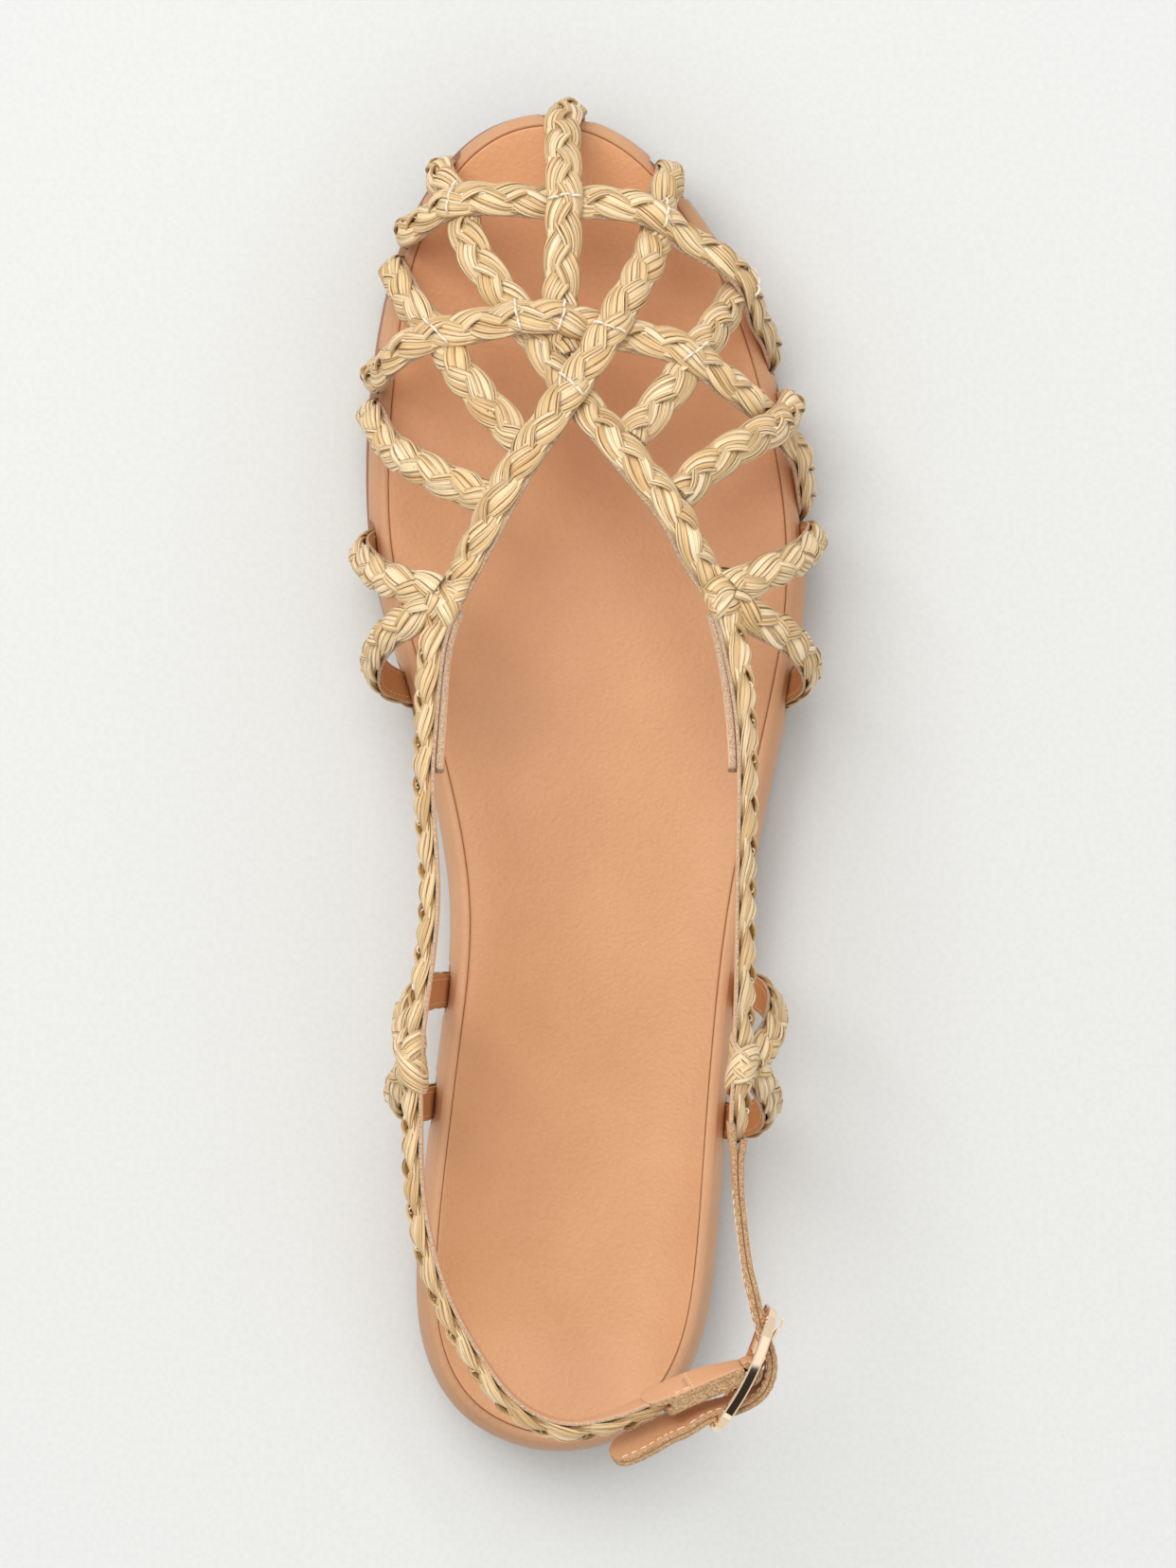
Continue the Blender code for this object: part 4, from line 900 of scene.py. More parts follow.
def sweep(soup, at, wide, up, width, thick, profile, along=None, ident=0, mats=0, caps=True):
    """Adds a bar along points: a profile scaled to a width and a thickness that may change along it."""
    wide, up = (np.broadcast_to(way, at.shape)[:, None] for way in (wide, up))
    width, thick = (np.broadcast_to(size, len(at))[:, None, None] for size in (width, thick))
    rings = at[:, None] + wide * profile[None, :, :1] * width / 2 + up * profile[None, :, 1:] * thick / 2
    soup.skin(rings, along, ident, mats, caps)


# Materials

def node(tree, kind, inputs=None, output=0, **settings):
    """An output of a new shader node with its settings, and its inputs set or linked."""
    made = tree.nodes.new(kind)
    for key, value in settings.items():
        setattr(made, key, value)
    for key, value in (inputs or {}).items():
        if isinstance(value, bpy.types.NodeSocket):
            tree.links.new(value, made.inputs[key])
        else:
            made.inputs[key].default_value = value
    return made.outputs[output]


def maths(tree, operation, *values):
    """A number worked out from numbers and sockets."""
    return node(tree, "ShaderNodeMath", dict(enumerate(values)), operation=operation)


def ramp(tree, factor, places, colours):
    """A colour ramp with a colour at each place."""
    made = node(tree, "ShaderNodeValToRGB", {"Fac": factor})
    elements = made.node.color_ramp.elements
    while len(elements) < len(places):
        elements.new(0.5)
    for element, place, colour in zip(elements, places, colours):
        element.position = place
        element.color = (*colour, 1.0)
    return made


def map_range(tree, value, **ends):
    """A value carried from one range to another."""
    inputs = {key.replace("_", " "): end for key, end in ends.items()}
    return node(tree, "ShaderNodeMapRange", {"Value": value, **inputs})


def mix_colour(tree, blend, factor, first, second):
    """Two colours blended."""
    inputs = {0: factor, 6: first, 7: second}
    return node(tree, "ShaderNodeMix", inputs, 2, data_type="RGBA", blend_type=blend)


def object_place(tree):
    """Coordinates fixed to the shoe, in metres."""
    return node(tree, "ShaderNodeTexCoord", output="Object")


def noise(tree, vector, scale, detail=3.0, roughness=0.5):
    """Noise of a scale given per metre or per UV unit."""
    return node(tree, "ShaderNodeTexNoise", {
        "Vector": vector, "Scale": scale, "Detail": detail, "Roughness": roughness})


def stretched(tree, vector, scale):
    """A vector scaled along each of its axes."""
    return node(tree, "ShaderNodeMapping", {"Vector": vector, "Scale": scale})


def new_material(name, **sockets):
    """A Principled material with constant sockets set."""
    made = bpy.data.materials.new(name)
    made.use_nodes = True
    shader = made.node_tree.nodes["Principled BSDF"]
    for key, value in sockets.items():
        shader.inputs[key.replace("_", " ")].default_value = value
    return made, made.node_tree, shader


def paint(tree, shader, colour):
    """Links a colour to the shader."""
    tree.links.new(colour, shader.inputs["Base Color"])


def bump(tree, shader, height, strength, distance):
    """Feeds a height to the shader as bump, after any bump already there."""
    inputs = {"Height": height, "Strength": strength, "Distance": distance * MM}
    before = shader.inputs["Normal"].links
    if before:
        inputs["Normal"] = before[0].from_socket
    tree.links.new(node(tree, "ShaderNodeBump", inputs), shader.inputs["Normal"])


def raffia_material(name, colours):
    """Straw with long fibres, each ribbon in its own tone, with painted shade darker at its edges."""
    made, tree, shader = new_material(name, Roughness=0.38, Specular_IOR_Level=0.5)
    uv = node(tree, "ShaderNodeUVMap", uv_map="strand")
    across = node(tree, "ShaderNodeSeparateXYZ", {"Vector": uv})
    own = node(tree, "ShaderNodeTexWhiteNoise", {"W": maths(tree, "FLOOR", across)}, noise_dimensions="1D")
    fibre = noise(tree, stretched(tree, uv, FIBRE_STRETCH), 1.0, detail=5.0, roughness=0.7)
    patch = noise(tree, stretched(tree, uv, PATCH_STRETCH), 1.0, detail=2.0)
    tone = maths(tree, "MULTIPLY_ADD", patch, PATCH_TONE, maths(tree, "MULTIPLY", own, OWN_TONE))
    base = ramp(tree, tone, TONE_PLACES, colours)
    streak = ramp(tree, fibre, STREAK_PLACES, STREAKS)
    colour = mix_colour(tree, "MULTIPLY", STREAK_SHARE, base, streak)
    # Painted shade: each ribbon darker towards its edges, away from the middle of its top face
    from_middle = maths(tree, "SUBTRACT", maths(tree, "FRACT", across), RIBBON_MIDDLE)
    rim = ramp(tree, maths(tree, "ABSOLUTE", from_middle), EDGE_SHADE_PLACES, (WHITE, RIBBON_EDGE_SHADE))
    paint(tree, shader, mix_colour(tree, "MULTIPLY", 1.0, colour, rim))
    bump(tree, shader, fibre, *FIBRE_BUMP)
    return made


def leather_material(name, colours, roughness, grain, pore, grain_size, heel_painted_shade=1.0, ends=None):
    """Smooth leather: clouded colour, pebbled grain and fine pores, with painted shade darker towards the
    heel if so wished.
    """
    made, tree, shader = new_material(name, Roughness=roughness, Specular_IOR_Level=0.4)
    place = object_place(tree)
    cloud = noise(tree, place, CLOUD_SCALE, detail=4.0)
    base = ramp(tree, cloud, CLOUD_PLACES, colours)
    cells = node(tree, "ShaderNodeTexVoronoi", {
        "Vector": place, "Scale": 1 / (MM * grain_size), "Randomness": 1.0}, feature="SMOOTH_F1")
    pores = noise(tree, place, PORE_SCALE, detail=2.0)
    shade = ramp(tree, cells, GRAIN_PLACES, (WHITE, GRAIN_SHADE))
    colour = mix_colour(tree, "MULTIPLY", GRAIN_SHARE, base, shade)
    # Painted shade: the colour darkens towards the heel, where less light falls
    if ends:
        along = node(tree, "ShaderNodeSeparateXYZ", {"Vector": place}, "Y")
        share = map_range(tree, along, From_Min=ends[0], From_Max=ends[1])
        fade = ramp(tree, share, (0.0, 1.0), ((heel_painted_shade,) * 3, WHITE))
        colour = mix_colour(tree, "MULTIPLY", 1.0, colour, fade)
    paint(tree, shader, colour)
    bump(tree, shader, cells, grain, GRAIN_DEPTH)
    bump(tree, shader, pores, pore, PORE_DEPTH)
    return made


def suede_material(name, colours):
    """Raw leather edge: crumbly nap with dark specks."""
    made, tree, shader = new_material(name, Roughness=0.85, Specular_IOR_Level=0.2)
    nap = noise(tree, object_place(tree), NAP_SCALE, detail=5.0, roughness=0.7)
    paint(tree, shader, ramp(tree, nap, NAP_PLACES, colours))
    bump(tree, shader, nap, *NAP_BUMP)
    return made


def gold_material():
    """Polished pale gold with faint handling marks."""
    made, tree, shader = new_material("gold", Base_Color=(*GOLD, 1.0), Metallic=1.0)
    marks = noise(tree, stretched(tree, object_place(tree), MARK_STRETCH), MARK_SCALE, detail=4.0)
    low, high = GOLD_ROUGHNESS
    tree.links.new(map_range(tree, marks, To_Min=low, To_Max=high), shader.inputs["Roughness"])
    return made


def thread_material(name, colours):
    """Sewing thread."""
    made, tree, shader = new_material(name, Roughness=0.6)
    twist = noise(tree, object_place(tree), TWIST_SCALE)
    paint(tree, shader, ramp(tree, twist, TWIST_PLACES, colours))
    bump(tree, shader, twist, *TWIST_BUMP)
    return made


def make_materials():
    """Every material of the shoe, by name."""
    made = {"gold": gold_material()}
    for table, make in ((RAFFIAS, raffia_material), (SUEDES, suede_material), (THREADS, thread_material)):
        made.update({name: make(name, colours) for name, colours in table.items()})
    made.update({name: leather_material(name + "_leather", *values) for name, values in LEATHERS.items()})
    return made


# Sole

def make_outsole(materials):
    """The thin bottom, with a lip that shows at the toe and the medial forefoot."""
    front = grown(RING[:, 1] / SOLE_LENGTH, LIP_ENDS)
    lip = OUTSOLE_FRONT_LIP * front * np.clip(LIP_TURN - RING_NORMAL[:, 0], 0, 1)
    start = inset_ring(OUTSOLE_EDGE[0][1] - lip)
    plans = [(0.0, SPINE + (start - SPINE) * share) for share in OUTSOLE_SHARES]
    plans += [(level, inset_ring(inset - lip)) for level, inset in OUTSOLE_EDGE]
    plans += [(1.0, inset_ring(OUTSOLE_TOP_INSET)), (1.0, SPINE)]
    rings = [over_ground(plan, OUTSOLE_THICK * level) for level, plan in plans]
    shell("outsole_leather", rings, materials["outsole"], "outsole")


def press_straps(points, runs):
    """Dents the footbed's side where straps lie against it."""
    for run in runs.values():
        low = run.at[:, 2] < rim_height(run.at[:, 1]) + DENT_ABOVE
        if not low.any():
            continue
        at, normal, side = run.at[low], run.normal[low], run.side[low]
        gaps = np.linalg.norm(points[:, None, :2] - at[None, ::DENT_STRIDE, :2], axis=2)
        near = np.where(np.min(gaps, axis=1) < DENT_NEAR)[0]
        if not len(near):
            continue
        away = points[near][:, None] - at[None]
        best = np.argmin(np.linalg.norm(away, axis=2), axis=1)
        away = away[np.arange(len(near)), best]
        across = np.abs(np.sum(away * side[best], axis=1))
        depth = np.sum(away * normal[best], axis=1)
        push = np.clip(depth + STRAP_THICK / 2 + DENT_GAP, 0, DENT_LIMIT)
        fade = np.clip((STRAP_WIDTH / 2 + DENT_MARGIN - across) / DENT_MARGIN, 0, 1)
        fade = fade * fade * (3 - 2 * fade)
        points[near] -= normal[best] * tall(push * fade)
    return points


def sock_inset():
    """How far the sock's edge lies inside the outline, round the ring."""
    return SOCK_INSET + (SOCK_TOE_INSET - SOCK_INSET) * grown(RING[:, 1] / SOLE_LENGTH, SOCK_TOE_ENDS)


def make_footbed(materials, runs):
    """The foam core in its leather wrap, dented where the straps go down its side."""
    floor = OUTSOLE_THICK + SOLE_GAP
    rings = [over_ground(SPINE, floor), over_ground(inset_ring(SIDE[0][1]), floor)]
    for level, inset in spline(SIDE, SIDE_LEVELS)[1:]:
        plan = inset_ring(inset)
        low = ground(plan[:, 1]) + floor
        rings.append(raised(plan, low + (rim_height(plan[:, 1]) - low) * level))
    for gap, sink in SEAT:
        rings.append(over_bed(inset_ring(sock_inset() + gap), -sink))
    rings.append(over_bed(SPINE, -SOCK_THICK - SEAT_GAP))
    rings = np.array(rings)
    sides = rings[2:SIDE_LEVELS]
    rings[2:SIDE_LEVELS] = press_straps(sides.reshape(-1, 3), runs).reshape(sides.shape)
    thing = shell("footbed_wrap", rings, materials["wrap"], "footbed")


def make_sock(materials):
    """The leather sock that lies in the footbed, with a rounded edge."""
    edge = inset_ring(sock_inset() + SOCK_GAP)
    inner = inset_ring(sock_inset() + SOCK_GAP + SOCK_EDGE)
    rings = []
    for share in np.linspace(1.0, 0.0, SOCK_UNDER_RINGS):
        rings.append(over_bed(edge + (SPINE - edge) * share, -SOCK_THICK * SOCK_SUNK))
    for turn in np.linspace(0, math.pi / 2, SOCK_EDGE_RINGS):
        rise = SOCK_PROUD * math.sin(turn) - SOCK_EDGE_DROP * (1 - math.sin(turn))
        rings.append(over_bed(edge + (inner - edge) * (1 - math.cos(turn)), rise))
    for share in np.linspace(0.0, 1.0, SOCK_RINGS)[1:]:
        rings.append(over_bed(inner + (SPINE - inner) * share, SOCK_PROUD))
    shell("sock", rings, materials["sock"], "insole")


# Plaited straps

def waver(rng, length, size):
    """A slow random wave along a length."""
    total = np.zeros_like(length)
    for wave in WAVER_LENGTHS:
        total += np.sin(length * 2 * math.pi / wave + rng.uniform(0, 2 * math.pi)) * rng.uniform(*WAVER_SIZES)
    return total * size / 2


def held_in(points, run):
    """Points of a strand, pressed in and down where they would stand out past the strap's edge."""
    across = np.sum((points - run.at) * run.side, axis=1)
    past = np.clip(np.abs(across) - EDGE_HOLD, 0, None)
    pressed = past - EDGE_GIVE * (1 - np.exp(-past / EDGE_GIVE))
    return points - run.side * tall(np.sign(across) * pressed) - run.normal * tall(EDGE_DROP * pressed)


def strand(soup, rng, at, wide, up, length, scale=1.0, swell=1.0, run=None):
    """A bundle of flat ribbons over a core, on a middle line with its wide and up directions."""
    scale, swell = (np.broadcast_to(share, len(at)) for share in (scale, swell))
    core = slice(CORE_SHORT, -CORE_SHORT)
    width, thick = CORE_WIDTH * scale * swell, CORE_THICK * scale
    # The core takes material 1, whose darker tone is painted shade in the gaps between ribbons
    sweep(soup, at[core], wide[core], up[core], width[core], thick[core], round_profile(CORE_SIDES),
          length[core], rng.integers(*IDENTS), 1)
    half, crown, arc = STRAND_HALF * scale, STRAND_CROWN * scale, math.radians(RIBBON_ARC)
    shares = rng.uniform(*RIBBON_SPREAD, RIBBONS)
    shares *= arc / shares.sum()
    turns = np.cumsum(shares) - shares / 2 - arc / 2
    for turn, share in zip(turns, shares):
        turn = turn + waver(rng, length, WANDER) / half
        height = crown * np.cos(turn) + waver(rng, length, JITTER)
        tilt = np.arctan2(crown * np.sin(turn), half * np.cos(turn)) + rng.uniform(-RIBBON_TILT, RIBBON_TILT)
        c, s = tall(np.cos(tilt)), tall(np.sin(tilt))
        middle = at + wide * tall(half * swell * np.sin(turn)) + up * tall(height)
        if run is not None:
            middle = held_in(middle, run)
        broad = share * np.hypot(half * swell * np.cos(turn), crown * np.sin(turn)) * RIBBON_FILL
        broad = broad * (1 + waver(rng, length, RIBBON_WAVER))
        shaded = 2 if abs(np.mean(turn)) > math.radians(SIDE_TURN) else 0
        sweep(soup, middle, wide * c - up * s, up * c + wide * s, broad, RIBBON_THICK * scale,
              np.array(RIBBON_PROFILE), length + rng.uniform(0, RIBBON_SHIFT), rng.integers(*IDENTS), shaded)


def plait(soup, rng, run, hand, tapered):
    """Three strands plaited flat along a strap's run, drawn together at its end where leather holds them."""
    scale = np.ones(len(run.at))
    if tapered:
        scale = np.clip((run.length[-1] - run.length) / TAPER_LENGTH, 0, 1) * (1 - TAPER_END) + TAPER_END
    strand(soup, rng, run.off(0.0, -BED_DEPTH * scale), run.side, run.normal, run.length, BED_SCALE * scale)
    crest = math.radians(LEAF_PLACE if hand < 0 else 180 - LEAF_PLACE)
    for k in range(STRANDS):
        turn = 2 * math.pi * (run.length / PLAIT_WAVE + k / STRANDS)
        swing = PLAIT_SWING * (np.sin(turn) - PLAIT_POINT * np.sin(3 * turn)) / (1 + PLAIT_POINT)
        depth = PLAIT_LIFT + hand * PLAIT_DEPTH * np.sin(2 * turn)
        at = run.off(swing * scale, depth * scale)
        heading = unit(np.gradient(at, axis=0))
        up = squared(run.normal, heading)
        wide = np.cross(heading, up)
        roll = tall(math.radians(PLAIT_ROLL) * np.sin(turn))
        turned_up = up * np.cos(roll) + wide * np.sin(roll)
        turned_wide = wide * np.cos(roll) - up * np.sin(roll)
        swell = 1 + LEAF_SWELL * np.cos(2 * (turn - crest))
        strand(soup, rng, at, turned_wide, turned_up, run.length, scale, swell, run)


def lining(soup, run, inner):
    """The leather strips behind a plait: material 0 on their faces, 1 on their edges."""
    profile = round_rectangle(LINING_SIDES, LINING_SQUARE)
    between = (profile + np.roll(profile, -1, axis=0)) / 2
    edges = ((np.abs(between[:, 0]) > EDGE_FACE) | (between[:, 1] > 0)).astype(int)[None]
    along = run.at[:, 1] / SOLE_LENGTH
    peep = inner * LINING_PEEP * grown(along, LINING_SHOWS)
    at = run.off(peep, (LINING_THICK - STRAP_THICK) / 2)
    sweep(soup, at, run.side, run.normal, LINING_WIDTH + np.abs(peep), LINING_THICK, profile, run.length,
          mats=edges)
    if not inner:
        return
    rows = (along < SECOND_LINING_SHOWS[0]) & (along > LINING_END)
    peep = inner * SECOND_LINING_PEEP * grown(along, SECOND_LINING_SHOWS)
    under = run.off(peep, -(STRAP_THICK + SECOND_LINING_THICK) / 2)
    sweep(soup, under[rows], run.side[rows], run.normal[rows], LINING_WIDTH, SECOND_LINING_THICK, profile,
          run.length[rows], mats=edges)


def make_braids(materials, runs):
    """Every strap's plait, and the leather lining behind all of them."""
    rng = np.random.default_rng(SEED)
    for name, members in BRAID_GROUPS.items():
        soup = Soup()
        for member in members:
            hand = 1.0 if member in TURNED_PLAITS else -1.0
            plait(soup, rng, runs[member], hand, member in INNER_SIDE)
        piece(name, soup, [materials[kind] for kind in RAFFIAS], ["upper"])
    soup, loops = Soup(), Soup()
    for name, run in runs.items():
        lining(loops if name.endswith(ARMS) else soup, run, INNER_SIDE.get(name, 0.0))
    piece("strap_lining", soup, [materials["strap"], materials["lining_edge"]])
    piece("loop_lining", loops, [materials["loop"], materials["lining_edge"]])


# Stitches and knots

def stitch(soup, points, up, thick=THREAD_THICK, mats=0):
    """One stitch of thread through a few points."""
    heading = unit(np.gradient(points, axis=0))
    wide = unit(np.cross(heading, up))
    face = unit(np.cross(wide, heading))
    sweep(soup, points, wide, face, thick, thick, round_profile(THREAD_SIDES), mats=mats)


def seam(soup, rng, run):
    """Machine stitches down the middle of a plait."""
    half = np.linspace(-0.5, 0.5, STITCH_POINTS)
    place = STITCH_PITCH
    while place < run.length[-1] - STITCH_PITCH:
        at, side, up = run.between(place + half * STITCH_LENGTH * rng.uniform(*STITCH_ROOM))
        sway = 2 * half * rng.uniform(-STITCH_SWAY, STITCH_SWAY) + rng.uniform(-STITCH_SHIFT, STITCH_SHIFT)
        stitch(soup, at + up * tall(STITCH_HEIGHT + STITCH_DIP) + side * tall(sway), up)
        place += STITCH_PITCH


def edge_seam(soup, run, across, out, start, end, mats=0):
    """Stitches along a strip, at a place across it and out from its middle."""
    dip = FINE_DIP * math.copysign(1.0, out)
    half = np.linspace(-0.5, 0.5, STITCH_POINTS) * SEAM_FILL
    for place in np.arange(start, end, SEAM_PITCH):
        at, side, up = run.between(place + half * SEAM_PITCH)
        stitch(soup, at + side * across + up * tall(out + dip), up, FINE_THREAD, mats)


def sewn_across(soup, rng, run, row, askew):
    """A row of thread stitched across a strap where another passes under it."""
    for start, end in SEWN_SPANS:
        across = np.linspace(start, end, STITCH_POINTS)
        crown = SEWN_HEIGHT - SEWN_ROUND * across ** 2
        points = (run.at[row] + run.side[row] * tall(across) + run.normal[row] * tall(crown + SEWN_DIP)
                  + run.heading[row] * tall(across * askew + rng.uniform(-STITCH_SHIFT, STITCH_SHIFT)))
        stitch(soup, points, run.normal[row], SEWN_THICK)


def crossing_row(over, under):
    """The row of a run where it comes closest to another, seen from above."""
    gap = np.linalg.norm(over.at[:, None, :2] - under.at[None, :, :2], axis=2)
    return np.unravel_index(np.argmin(gap), gap.shape)[0]


def make_stitches(materials, runs):
    """All the sewing thread on the straps."""
    rng = np.random.default_rng(SEED + 1)
    soup = Soup()
    for run in runs.values():
        seam(soup, rng, run)
    for over, under, askew in SEWN:
        sewn_across(soup, rng, runs[over], crossing_row(runs[over], runs[under]), askew)
    for run in (run for name, run in runs.items() if name.endswith(ARMS)):
        for across in (-LOOP_SEAM, LOOP_SEAM):
            edge_seam(soup, run, across, -STRAP_THICK / 2, SEAM_PITCH, run.length[-1] - SEAM_PITCH, 1)
    piece("strap_stitches", soup, [materials["thread"], materials["brown_thread"]])


def knot_row(run, loop):
    """The row of a main strap where a loop is hitched round it."""
    x, along, z, _ = max(LOOPS[loop][1], key=lambda row: row[2])
    return int(np.argmin(np.linalg.norm(run.at - np.array([x, along * SOLE_LENGTH, z]), axis=1)))


def hitch(soup, rng, run, row):
    """Strands wrapped round a strap, square across it."""
    turn = np.linspace(-math.pi / 2, 1.5 * math.pi, WRAP_STEPS)[:, None]
    half = STRAP_WIDTH / 2 + WRAP_SIDE
    side, normal = run.side[row], run.normal[row]
    for (offset, slant, start), rise in zip(WRAP_STRANDS, WRAP_RISE):
        at = (run.at[row] + normal * WRAP_LIFT + side * half * np.cos(turn) + normal * rise * np.sin(turn)
              + run.heading[row] * (offset + slant * np.cos(turn - math.radians(start))))
        heading = unit(np.gradient(at, axis=0))
        up = squared(unit(side * np.cos(turn) / half + normal * np.sin(turn) / rise), heading)
        strand(soup, rng, at, np.cross(heading, up), up, lengths_along(at))


def make_knots(materials, runs):
    """The hitches of the four side loops round the main straps."""
    rng = np.random.default_rng(SEED + 2)
    soup = Soup()
    for main_strap, loop in KNOTS:
        hitch(soup, rng, runs[main_strap], knot_row(runs[main_strap], loop))
    piece("loop_knots", soup, [materials[kind] for kind in RAFFIAS])


# Buckle

def buckle_axes():
    """The buckle's centre with its along, outward and upright directions."""
    turn, lean = math.radians(BUCKLE_HEADING), math.radians(BUCKLE_LEAN)
    along = np.array([math.cos(turn), math.sin(turn), 0.0])
    level = np.array([math.sin(turn), -math.cos(turn), 0.0])
    up = np.array([0.0, 0.0, 1.0])
    outer = level * math.cos(lean) - up * math.sin(lean)
    upright = up * math.cos(lean) + level * math.sin(lean)
    return np.array(BUCKLE_CENTRE), along, outer, upright


def thread(rows):
    """Points and normals for rows in the buckle's own frame."""
    centre, along, outer, upright = buckle_axes()
    run = unit(np.gradient(np.array(rows, float)[:, :2], axis=0))
    found = []
    for (a, out, lean), (run_a, run_out) in zip(rows, run):
        level = (along * run_out - outer * run_a) * math.cos(math.radians(lean))
        normal = level + upright * math.sin(math.radians(lean))
        found.append(np.concatenate([centre + along * a + outer * out, normal]))
    return found


def make_buckle_frame(materials):
    """The bowed gold frame with its centre bar."""
    centre, along, outer, upright = buckle_axes()
    half_long = (FRAME_LENGTH - FRAME_BAR_WIDE) / 2 - FRAME_CORNER
    half_high = (FRAME_HEIGHT - FRAME_BAR_WIDE) / 2 - FRAME_CORNER
    points = []
    for corner, (sign_a, sign_u) in enumerate(FRAME_CORNERS):
        for turn in np.radians(90 * corner + np.linspace(0, 90, FRAME_CORNER_STEPS)):
            c, s = math.cos(turn), math.sin(turn)
            a, u = sign_a * half_long + FRAME_CORNER * c, sign_u * half_high + FRAME_CORNER * s
            points.append((a, u, c, s))
    loop = resample(np.array(points + points[:1]), FRAME_STEP)
    drop = FRAME_BOW * (2 * loop[:, :1] / FRAME_LENGTH) ** 2
    at = centre + along * loop[:, :1] + upright * loop[:, 1:2] - outer * drop
    wide = unit(along * loop[:, 2:3] + upright * loop[:, 3:4])
    soup = Soup()
    sweep(soup, at, wide, outer, FRAME_BAR_WIDE, FRAME_BAR_THICK, np.array(FRAME_PROFILE), caps=False)
    bar = tall(np.linspace(-1, 1, CENTRE_BAR_STEPS)) * (FRAME_HEIGHT - FRAME_BAR_WIDE) / 2
    sweep(soup, centre + upright * bar, along, outer, 2 * CENTRE_BAR_RADIUS, 2 * CENTRE_BAR_RADIUS,
          round_profile(CENTRE_BAR_SIDES))
    thing = piece("buckle_frame_gold", soup, [materials["gold"]], ["buckle_frame"])
    thing.data.set_sharp_from_angle(angle=math.radians(FRAME_SHARP))


def make_buckle_prong(materials):
    """The prong, hooked round the centre bar."""
    centre, along, outer, upright = buckle_axes()
    route = [PRONG_HOOK_RADIUS * np.array([math.cos(t), math.sin(t)]) for t in np.radians(PRONG_HOOK_TURNS)]
    rows = [centre + along * a + outer * out for a, out in (*route, *PRONG_ROUTE)]
    path = resample(spline(rows, PRONG_SAMPLES), PRONG_STEP)
    heading = unit(np.gradient(path, axis=0))
    to_tip = len(path) - 1 - np.arange(len(path))
    size = 2 * PRONG_RADIUS * np.clip(to_tip / PRONG_TAPER_ROWS, PRONG_TIP, 1.0)
    soup = Soup()
    sweep(soup, path, upright, unit(np.cross(heading, upright)), size, size, round_profile(PRONG_SIDES))
    piece("buckle_prong_gold", soup, [materials["gold"]], ["buckle_prong"])


def leather_sweep(soup, at, wide, up, width, thick, along=None):
    """A flat leather strip along points: material 0 on its faces and 1 on its cut edges."""
    profile = round_rectangle(LEATHER_SIDES, LEATHER_SQUARE)
    edges = (np.abs(profile[:, 0] + np.roll(profile[:, 0], -1)) / 2 > EDGE_FACE).astype(int)
    sweep(soup, at, wide, up, width, thick, profile, along, mats=edges[None])


def leather_band(soup, run, width, thick, offset, first=0):
    """A leather strip along a run, from its first row, at an offset outward."""
    width, thick = (np.broadcast_to(size, len(run.at))[first:] for size in (width, thick))
    at = run.off(0.0, offset)[first:]
    leather_sweep(soup, at, run.side[first:], run.normal[first:], width, thick, run.length[first:])


def rounded_end(distance, radius):
    """Share of a strip's width left at a distance from its rounded end."""
    return np.sqrt(np.clip(1 - np.clip(1 - distance / radius, 0, 1) ** 2, END_LEAST, 1))


def make_buckle_strap(materials):
    """The double leather strap that goes through the buckle, open at its start round the plait's end."""
    run = Run(level_run(STRAP_RUN) + thread(STRAP_THREAD) + level_run(STRAP_TIP), LEATHER_STEP)
    width = (LEATHER_WIDTH * rounded_end(run.length[-1] - run.length, TIP_RADIUS)
             * rounded_end(run.length, START_RADIUS))
    layer = LEATHER_THICK / 2
    thick = layer + (START_THICK - layer) * np.exp(-(run.length / START_THICK_REACH) ** 2)
    spread = thick / 2 + STRAP_SPLAY * np.clip(1 - run.length / STRAP_SPLAY_REACH, 0, 1)
    top = LEATHER_WIDTH / 2 - SEAM_INSET
    soup, seams = Soup(), Soup()
    for side, first in ((1, OUTER_LAYER_ROW), (-1, 0)):
        leather_band(soup, run, width, thick + LAYER_LAP, side * spread, first)
        for across in (top, -top):
            edge_seam(seams, run, across, side * (layer + SEAM_PROUD), 2 * STRAP_SPLAY_REACH,
                      run.length[-1] - SEAM_END)
    # The tail leather on these faces is painted shade, darker than the tab's leather
    faces = [materials["tail"], materials["suede_edge"]]
    piece("buckle_strap_leather", soup, faces, ["buckle_strap"])
    piece("buckle_strap_stitches", seams, [materials["thread"]])


def tab_stitches(run):
    """The tab's stitches: a row across both faces, and a seam along its lower inner edge."""
    soup = Soup()
    half = LEATHER_WIDTH / 2
    ends = np.linspace(TAB_SEAM_MARGIN - half, half - TAB_SEAM_MARGIN, TAB_SEAM_STITCHES + 1)
    row = int(np.argmin(np.abs(run.length - TAB_SEAM_PLACE)))
    for low, high in zip(ends[:-1], ends[1:]):
        across = np.linspace(low + TAB_SEAM_MARGIN, high - TAB_SEAM_MARGIN, STITCH_POINTS)
        for out in (-TAB_THICK / 2, TAB_THICK / 2):
            lift = tall(out + TAB_DIP * math.copysign(1.0, out))
            points = run.at[row] + run.side[row] * tall(across) + run.normal[row] * lift
            stitch(soup, points, run.normal[row], FINE_THREAD)
    edge_seam(soup, run, SEAM_INSET - half, -TAB_THICK / 2, TAB_SEAM_START, TAB_SEAM_PLACE)
    return soup


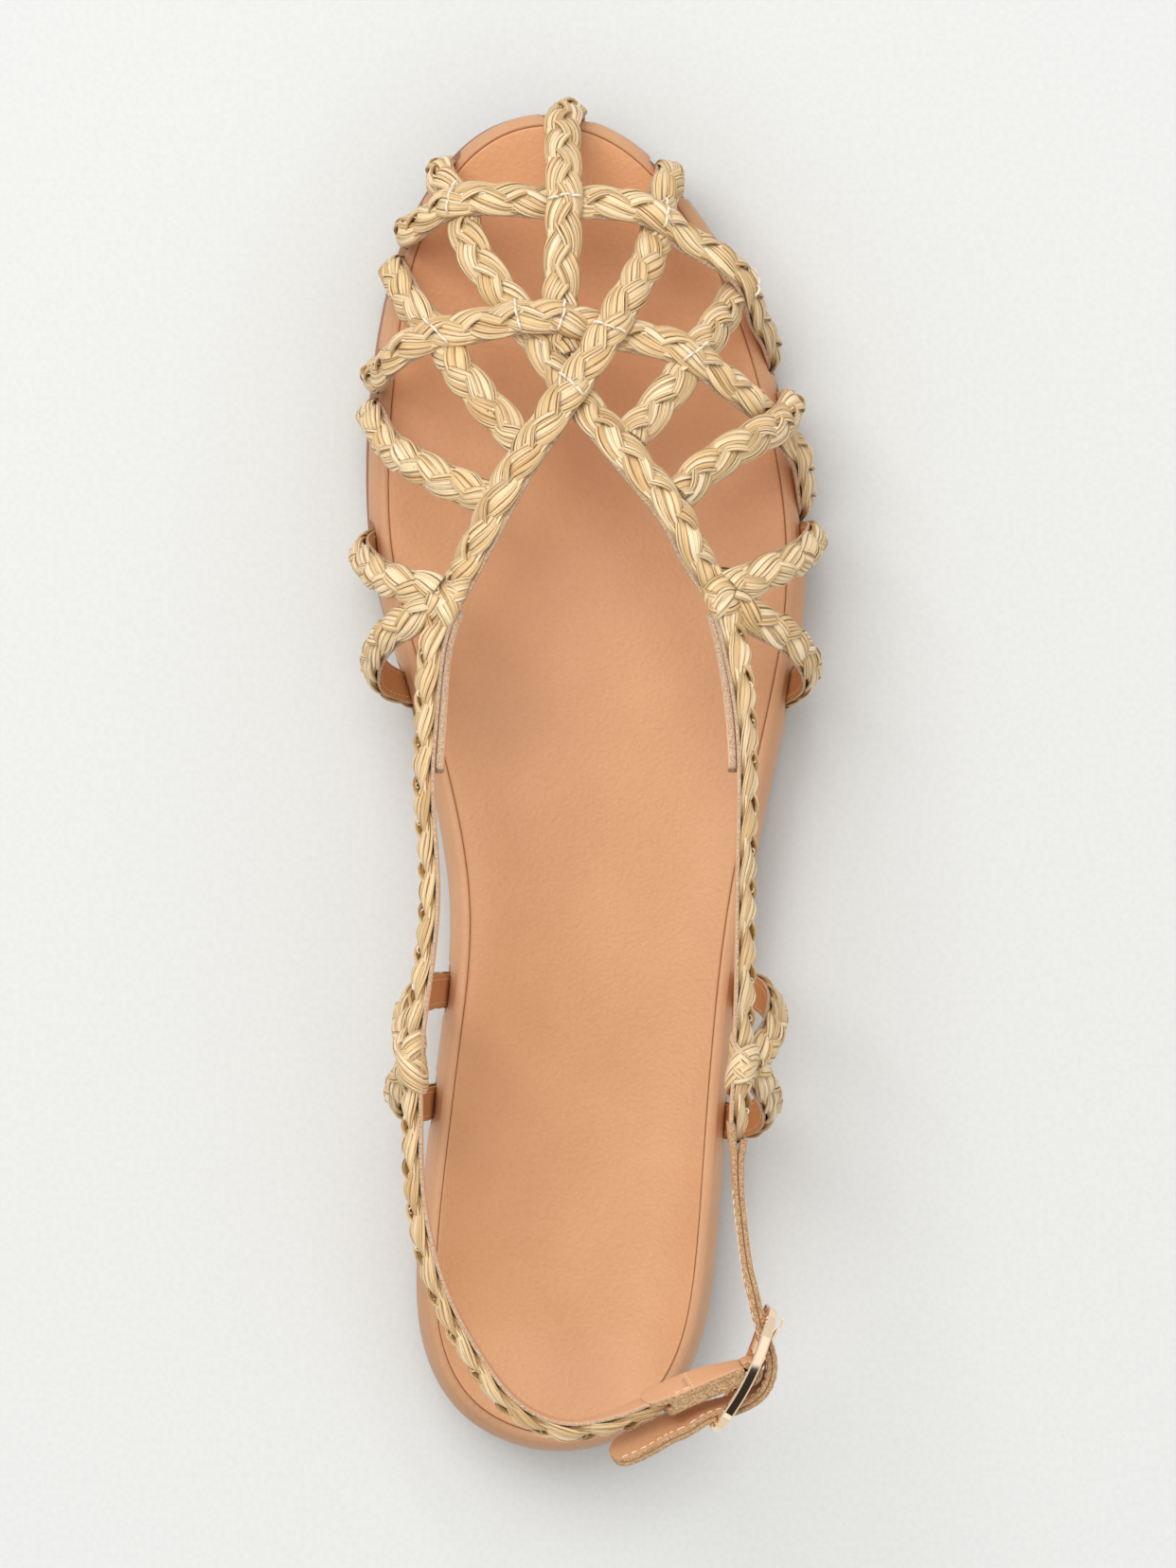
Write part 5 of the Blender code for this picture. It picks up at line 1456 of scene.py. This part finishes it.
def make_buckle_tab(materials):
    """The leather tab folded round the centre bar, with the plait's end between its layers."""
    centre, _, _, upright = buckle_axes()
    run = Run(level_run(TAB_PATH), LEATHER_STEP)
    soup = Soup()
    layer = TAB_THICK / 2 - TAB_LAYER / 2 + TAB_SPLAY * np.exp(-(run.length / TAB_SPLAY_REACH) ** 2)
    for side, first in ((-1, 0), (1, TAB_OUTER_ROW)):
        width = LEATHER_WIDTH * rounded_end(run.length - run.length[first], START_RADIUS)
        leather_band(soup, run, width, TAB_LAYER, side * layer, first)
    leather_band(soup, run, LEATHER_WIDTH - TAB_FILL_GAP, TAB_THICK - TAB_FILL_GAP, 0.0, TAB_FILL_ROW)
    back = unit(run.at[-1] - centre)
    turn = tall(np.radians(np.linspace(-TAB_FOLD_TURN, TAB_FOLD_TURN, TAB_FOLD_STEPS)))
    face = -(back * np.cos(turn) + np.cross(upright, back) * np.sin(turn))
    bend = centre + face * (TAB_LOOP_RADIUS - TAB_LAYER / 2)
    leather_sweep(soup, bend, upright, face, LEATHER_WIDTH - TAB_FOLD_NARROW, TAB_LAYER)
    faces = [materials["strap"], materials["suede_edge"]]
    piece("buckle_tab_leather", soup, faces, ["buckle_tab"])
    piece("buckle_tab_stitches", tab_stitches(run), [materials["thread"]])


# Stage

def make_floor():
    """A pale floor."""
    made, tree, shader = new_material("floor", Roughness=0.85, Specular_IOR_Level=0.1)
    fine = noise(tree, object_place(tree), FLOOR_SCALE)
    paint(tree, shader, ramp(tree, fine, FLOOR_PLACES, FLOOR_COLOURS))
    mesh = bpy.data.meshes.new("floor")
    bm = bmesh.new()
    bmesh.ops.create_grid(bm, x_segments=4, y_segments=4, size=FLOOR_HALF)
    bm.to_mesh(mesh)
    bm.free()
    mesh.materials.append(made)
    floor = new_object("floor", mesh)


def make_sky():
    """A white sky with a dark patch overhead, which the polished frame shows."""
    world = bpy.data.worlds.new("studio")
    world.use_nodes = True
    tree, backdrop = world.node_tree, world.node_tree.nodes["Background"]
    way = node(tree, "ShaderNodeTexCoord", output="Generated")
    gap = node(tree, "ShaderNodeVectorMath", {0: way, 1: DARK_PATCH}, "Value", operation="DISTANCE")
    colour = (*DARK_SKY, 1.0)
    for (start, end), beyond in SKY_RINGS:
        share = map_range(tree, gap, From_Min=start, From_Max=end)
        colour = mix_colour(tree, "MIX", share, colour, (*beyond, 1.0))
    tree.links.new(colour, backdrop.inputs["Color"])
    backdrop.inputs["Strength"].default_value = SKY_POWER
    bpy.context.scene.world = world


def make_lights():
    """Square soft lights aimed at the shoe, the strongest from the upper left."""
    for name, (place, size, power) in LIGHTS.items():
        data = bpy.data.lights.new(name, "AREA")
        data.shape = "SQUARE"
        data.size = size
        data.energy = power
        data.color = LIGHT_COLOUR
        thing = new_object(name, data)
        thing.location = place
        thing.rotation_mode = "QUATERNION"
        thing.rotation_quaternion = (Vector(LIGHT_TARGET) - Vector(place)).to_track_quat("-Z", "Y")


def make_camera():
    """A camera straight above the shoe."""
    camera = bpy.data.cameras.new("camera")
    camera.sensor_width = SENSOR
    camera.lens = FOCAL_PIXELS * SENSOR / PHOTO_HEIGHT
    camera.clip_end = CAMERA_REACH
    eye = new_object("camera", camera)
    eye.location = np.array([0.0, CAMERA_ALONG, CAMERA_HEIGHT]) * MM + ORIGIN
    bpy.context.scene.camera = eye
    bpy.context.scene.view_settings.view_transform = "Standard"


def main():
    """Builds every piece and the stage."""
    materials = make_materials()
    runs = strap_runs()
    make_outsole(materials)
    make_footbed(materials, runs)
    make_sock(materials)
    for make in (make_braids, make_stitches, make_knots):
        make(materials, runs)
    for make in (make_buckle_frame, make_buckle_prong, make_buckle_strap, make_buckle_tab):
        make(materials)
    make_floor()
    make_sky()
    make_lights()
    make_camera()


main()
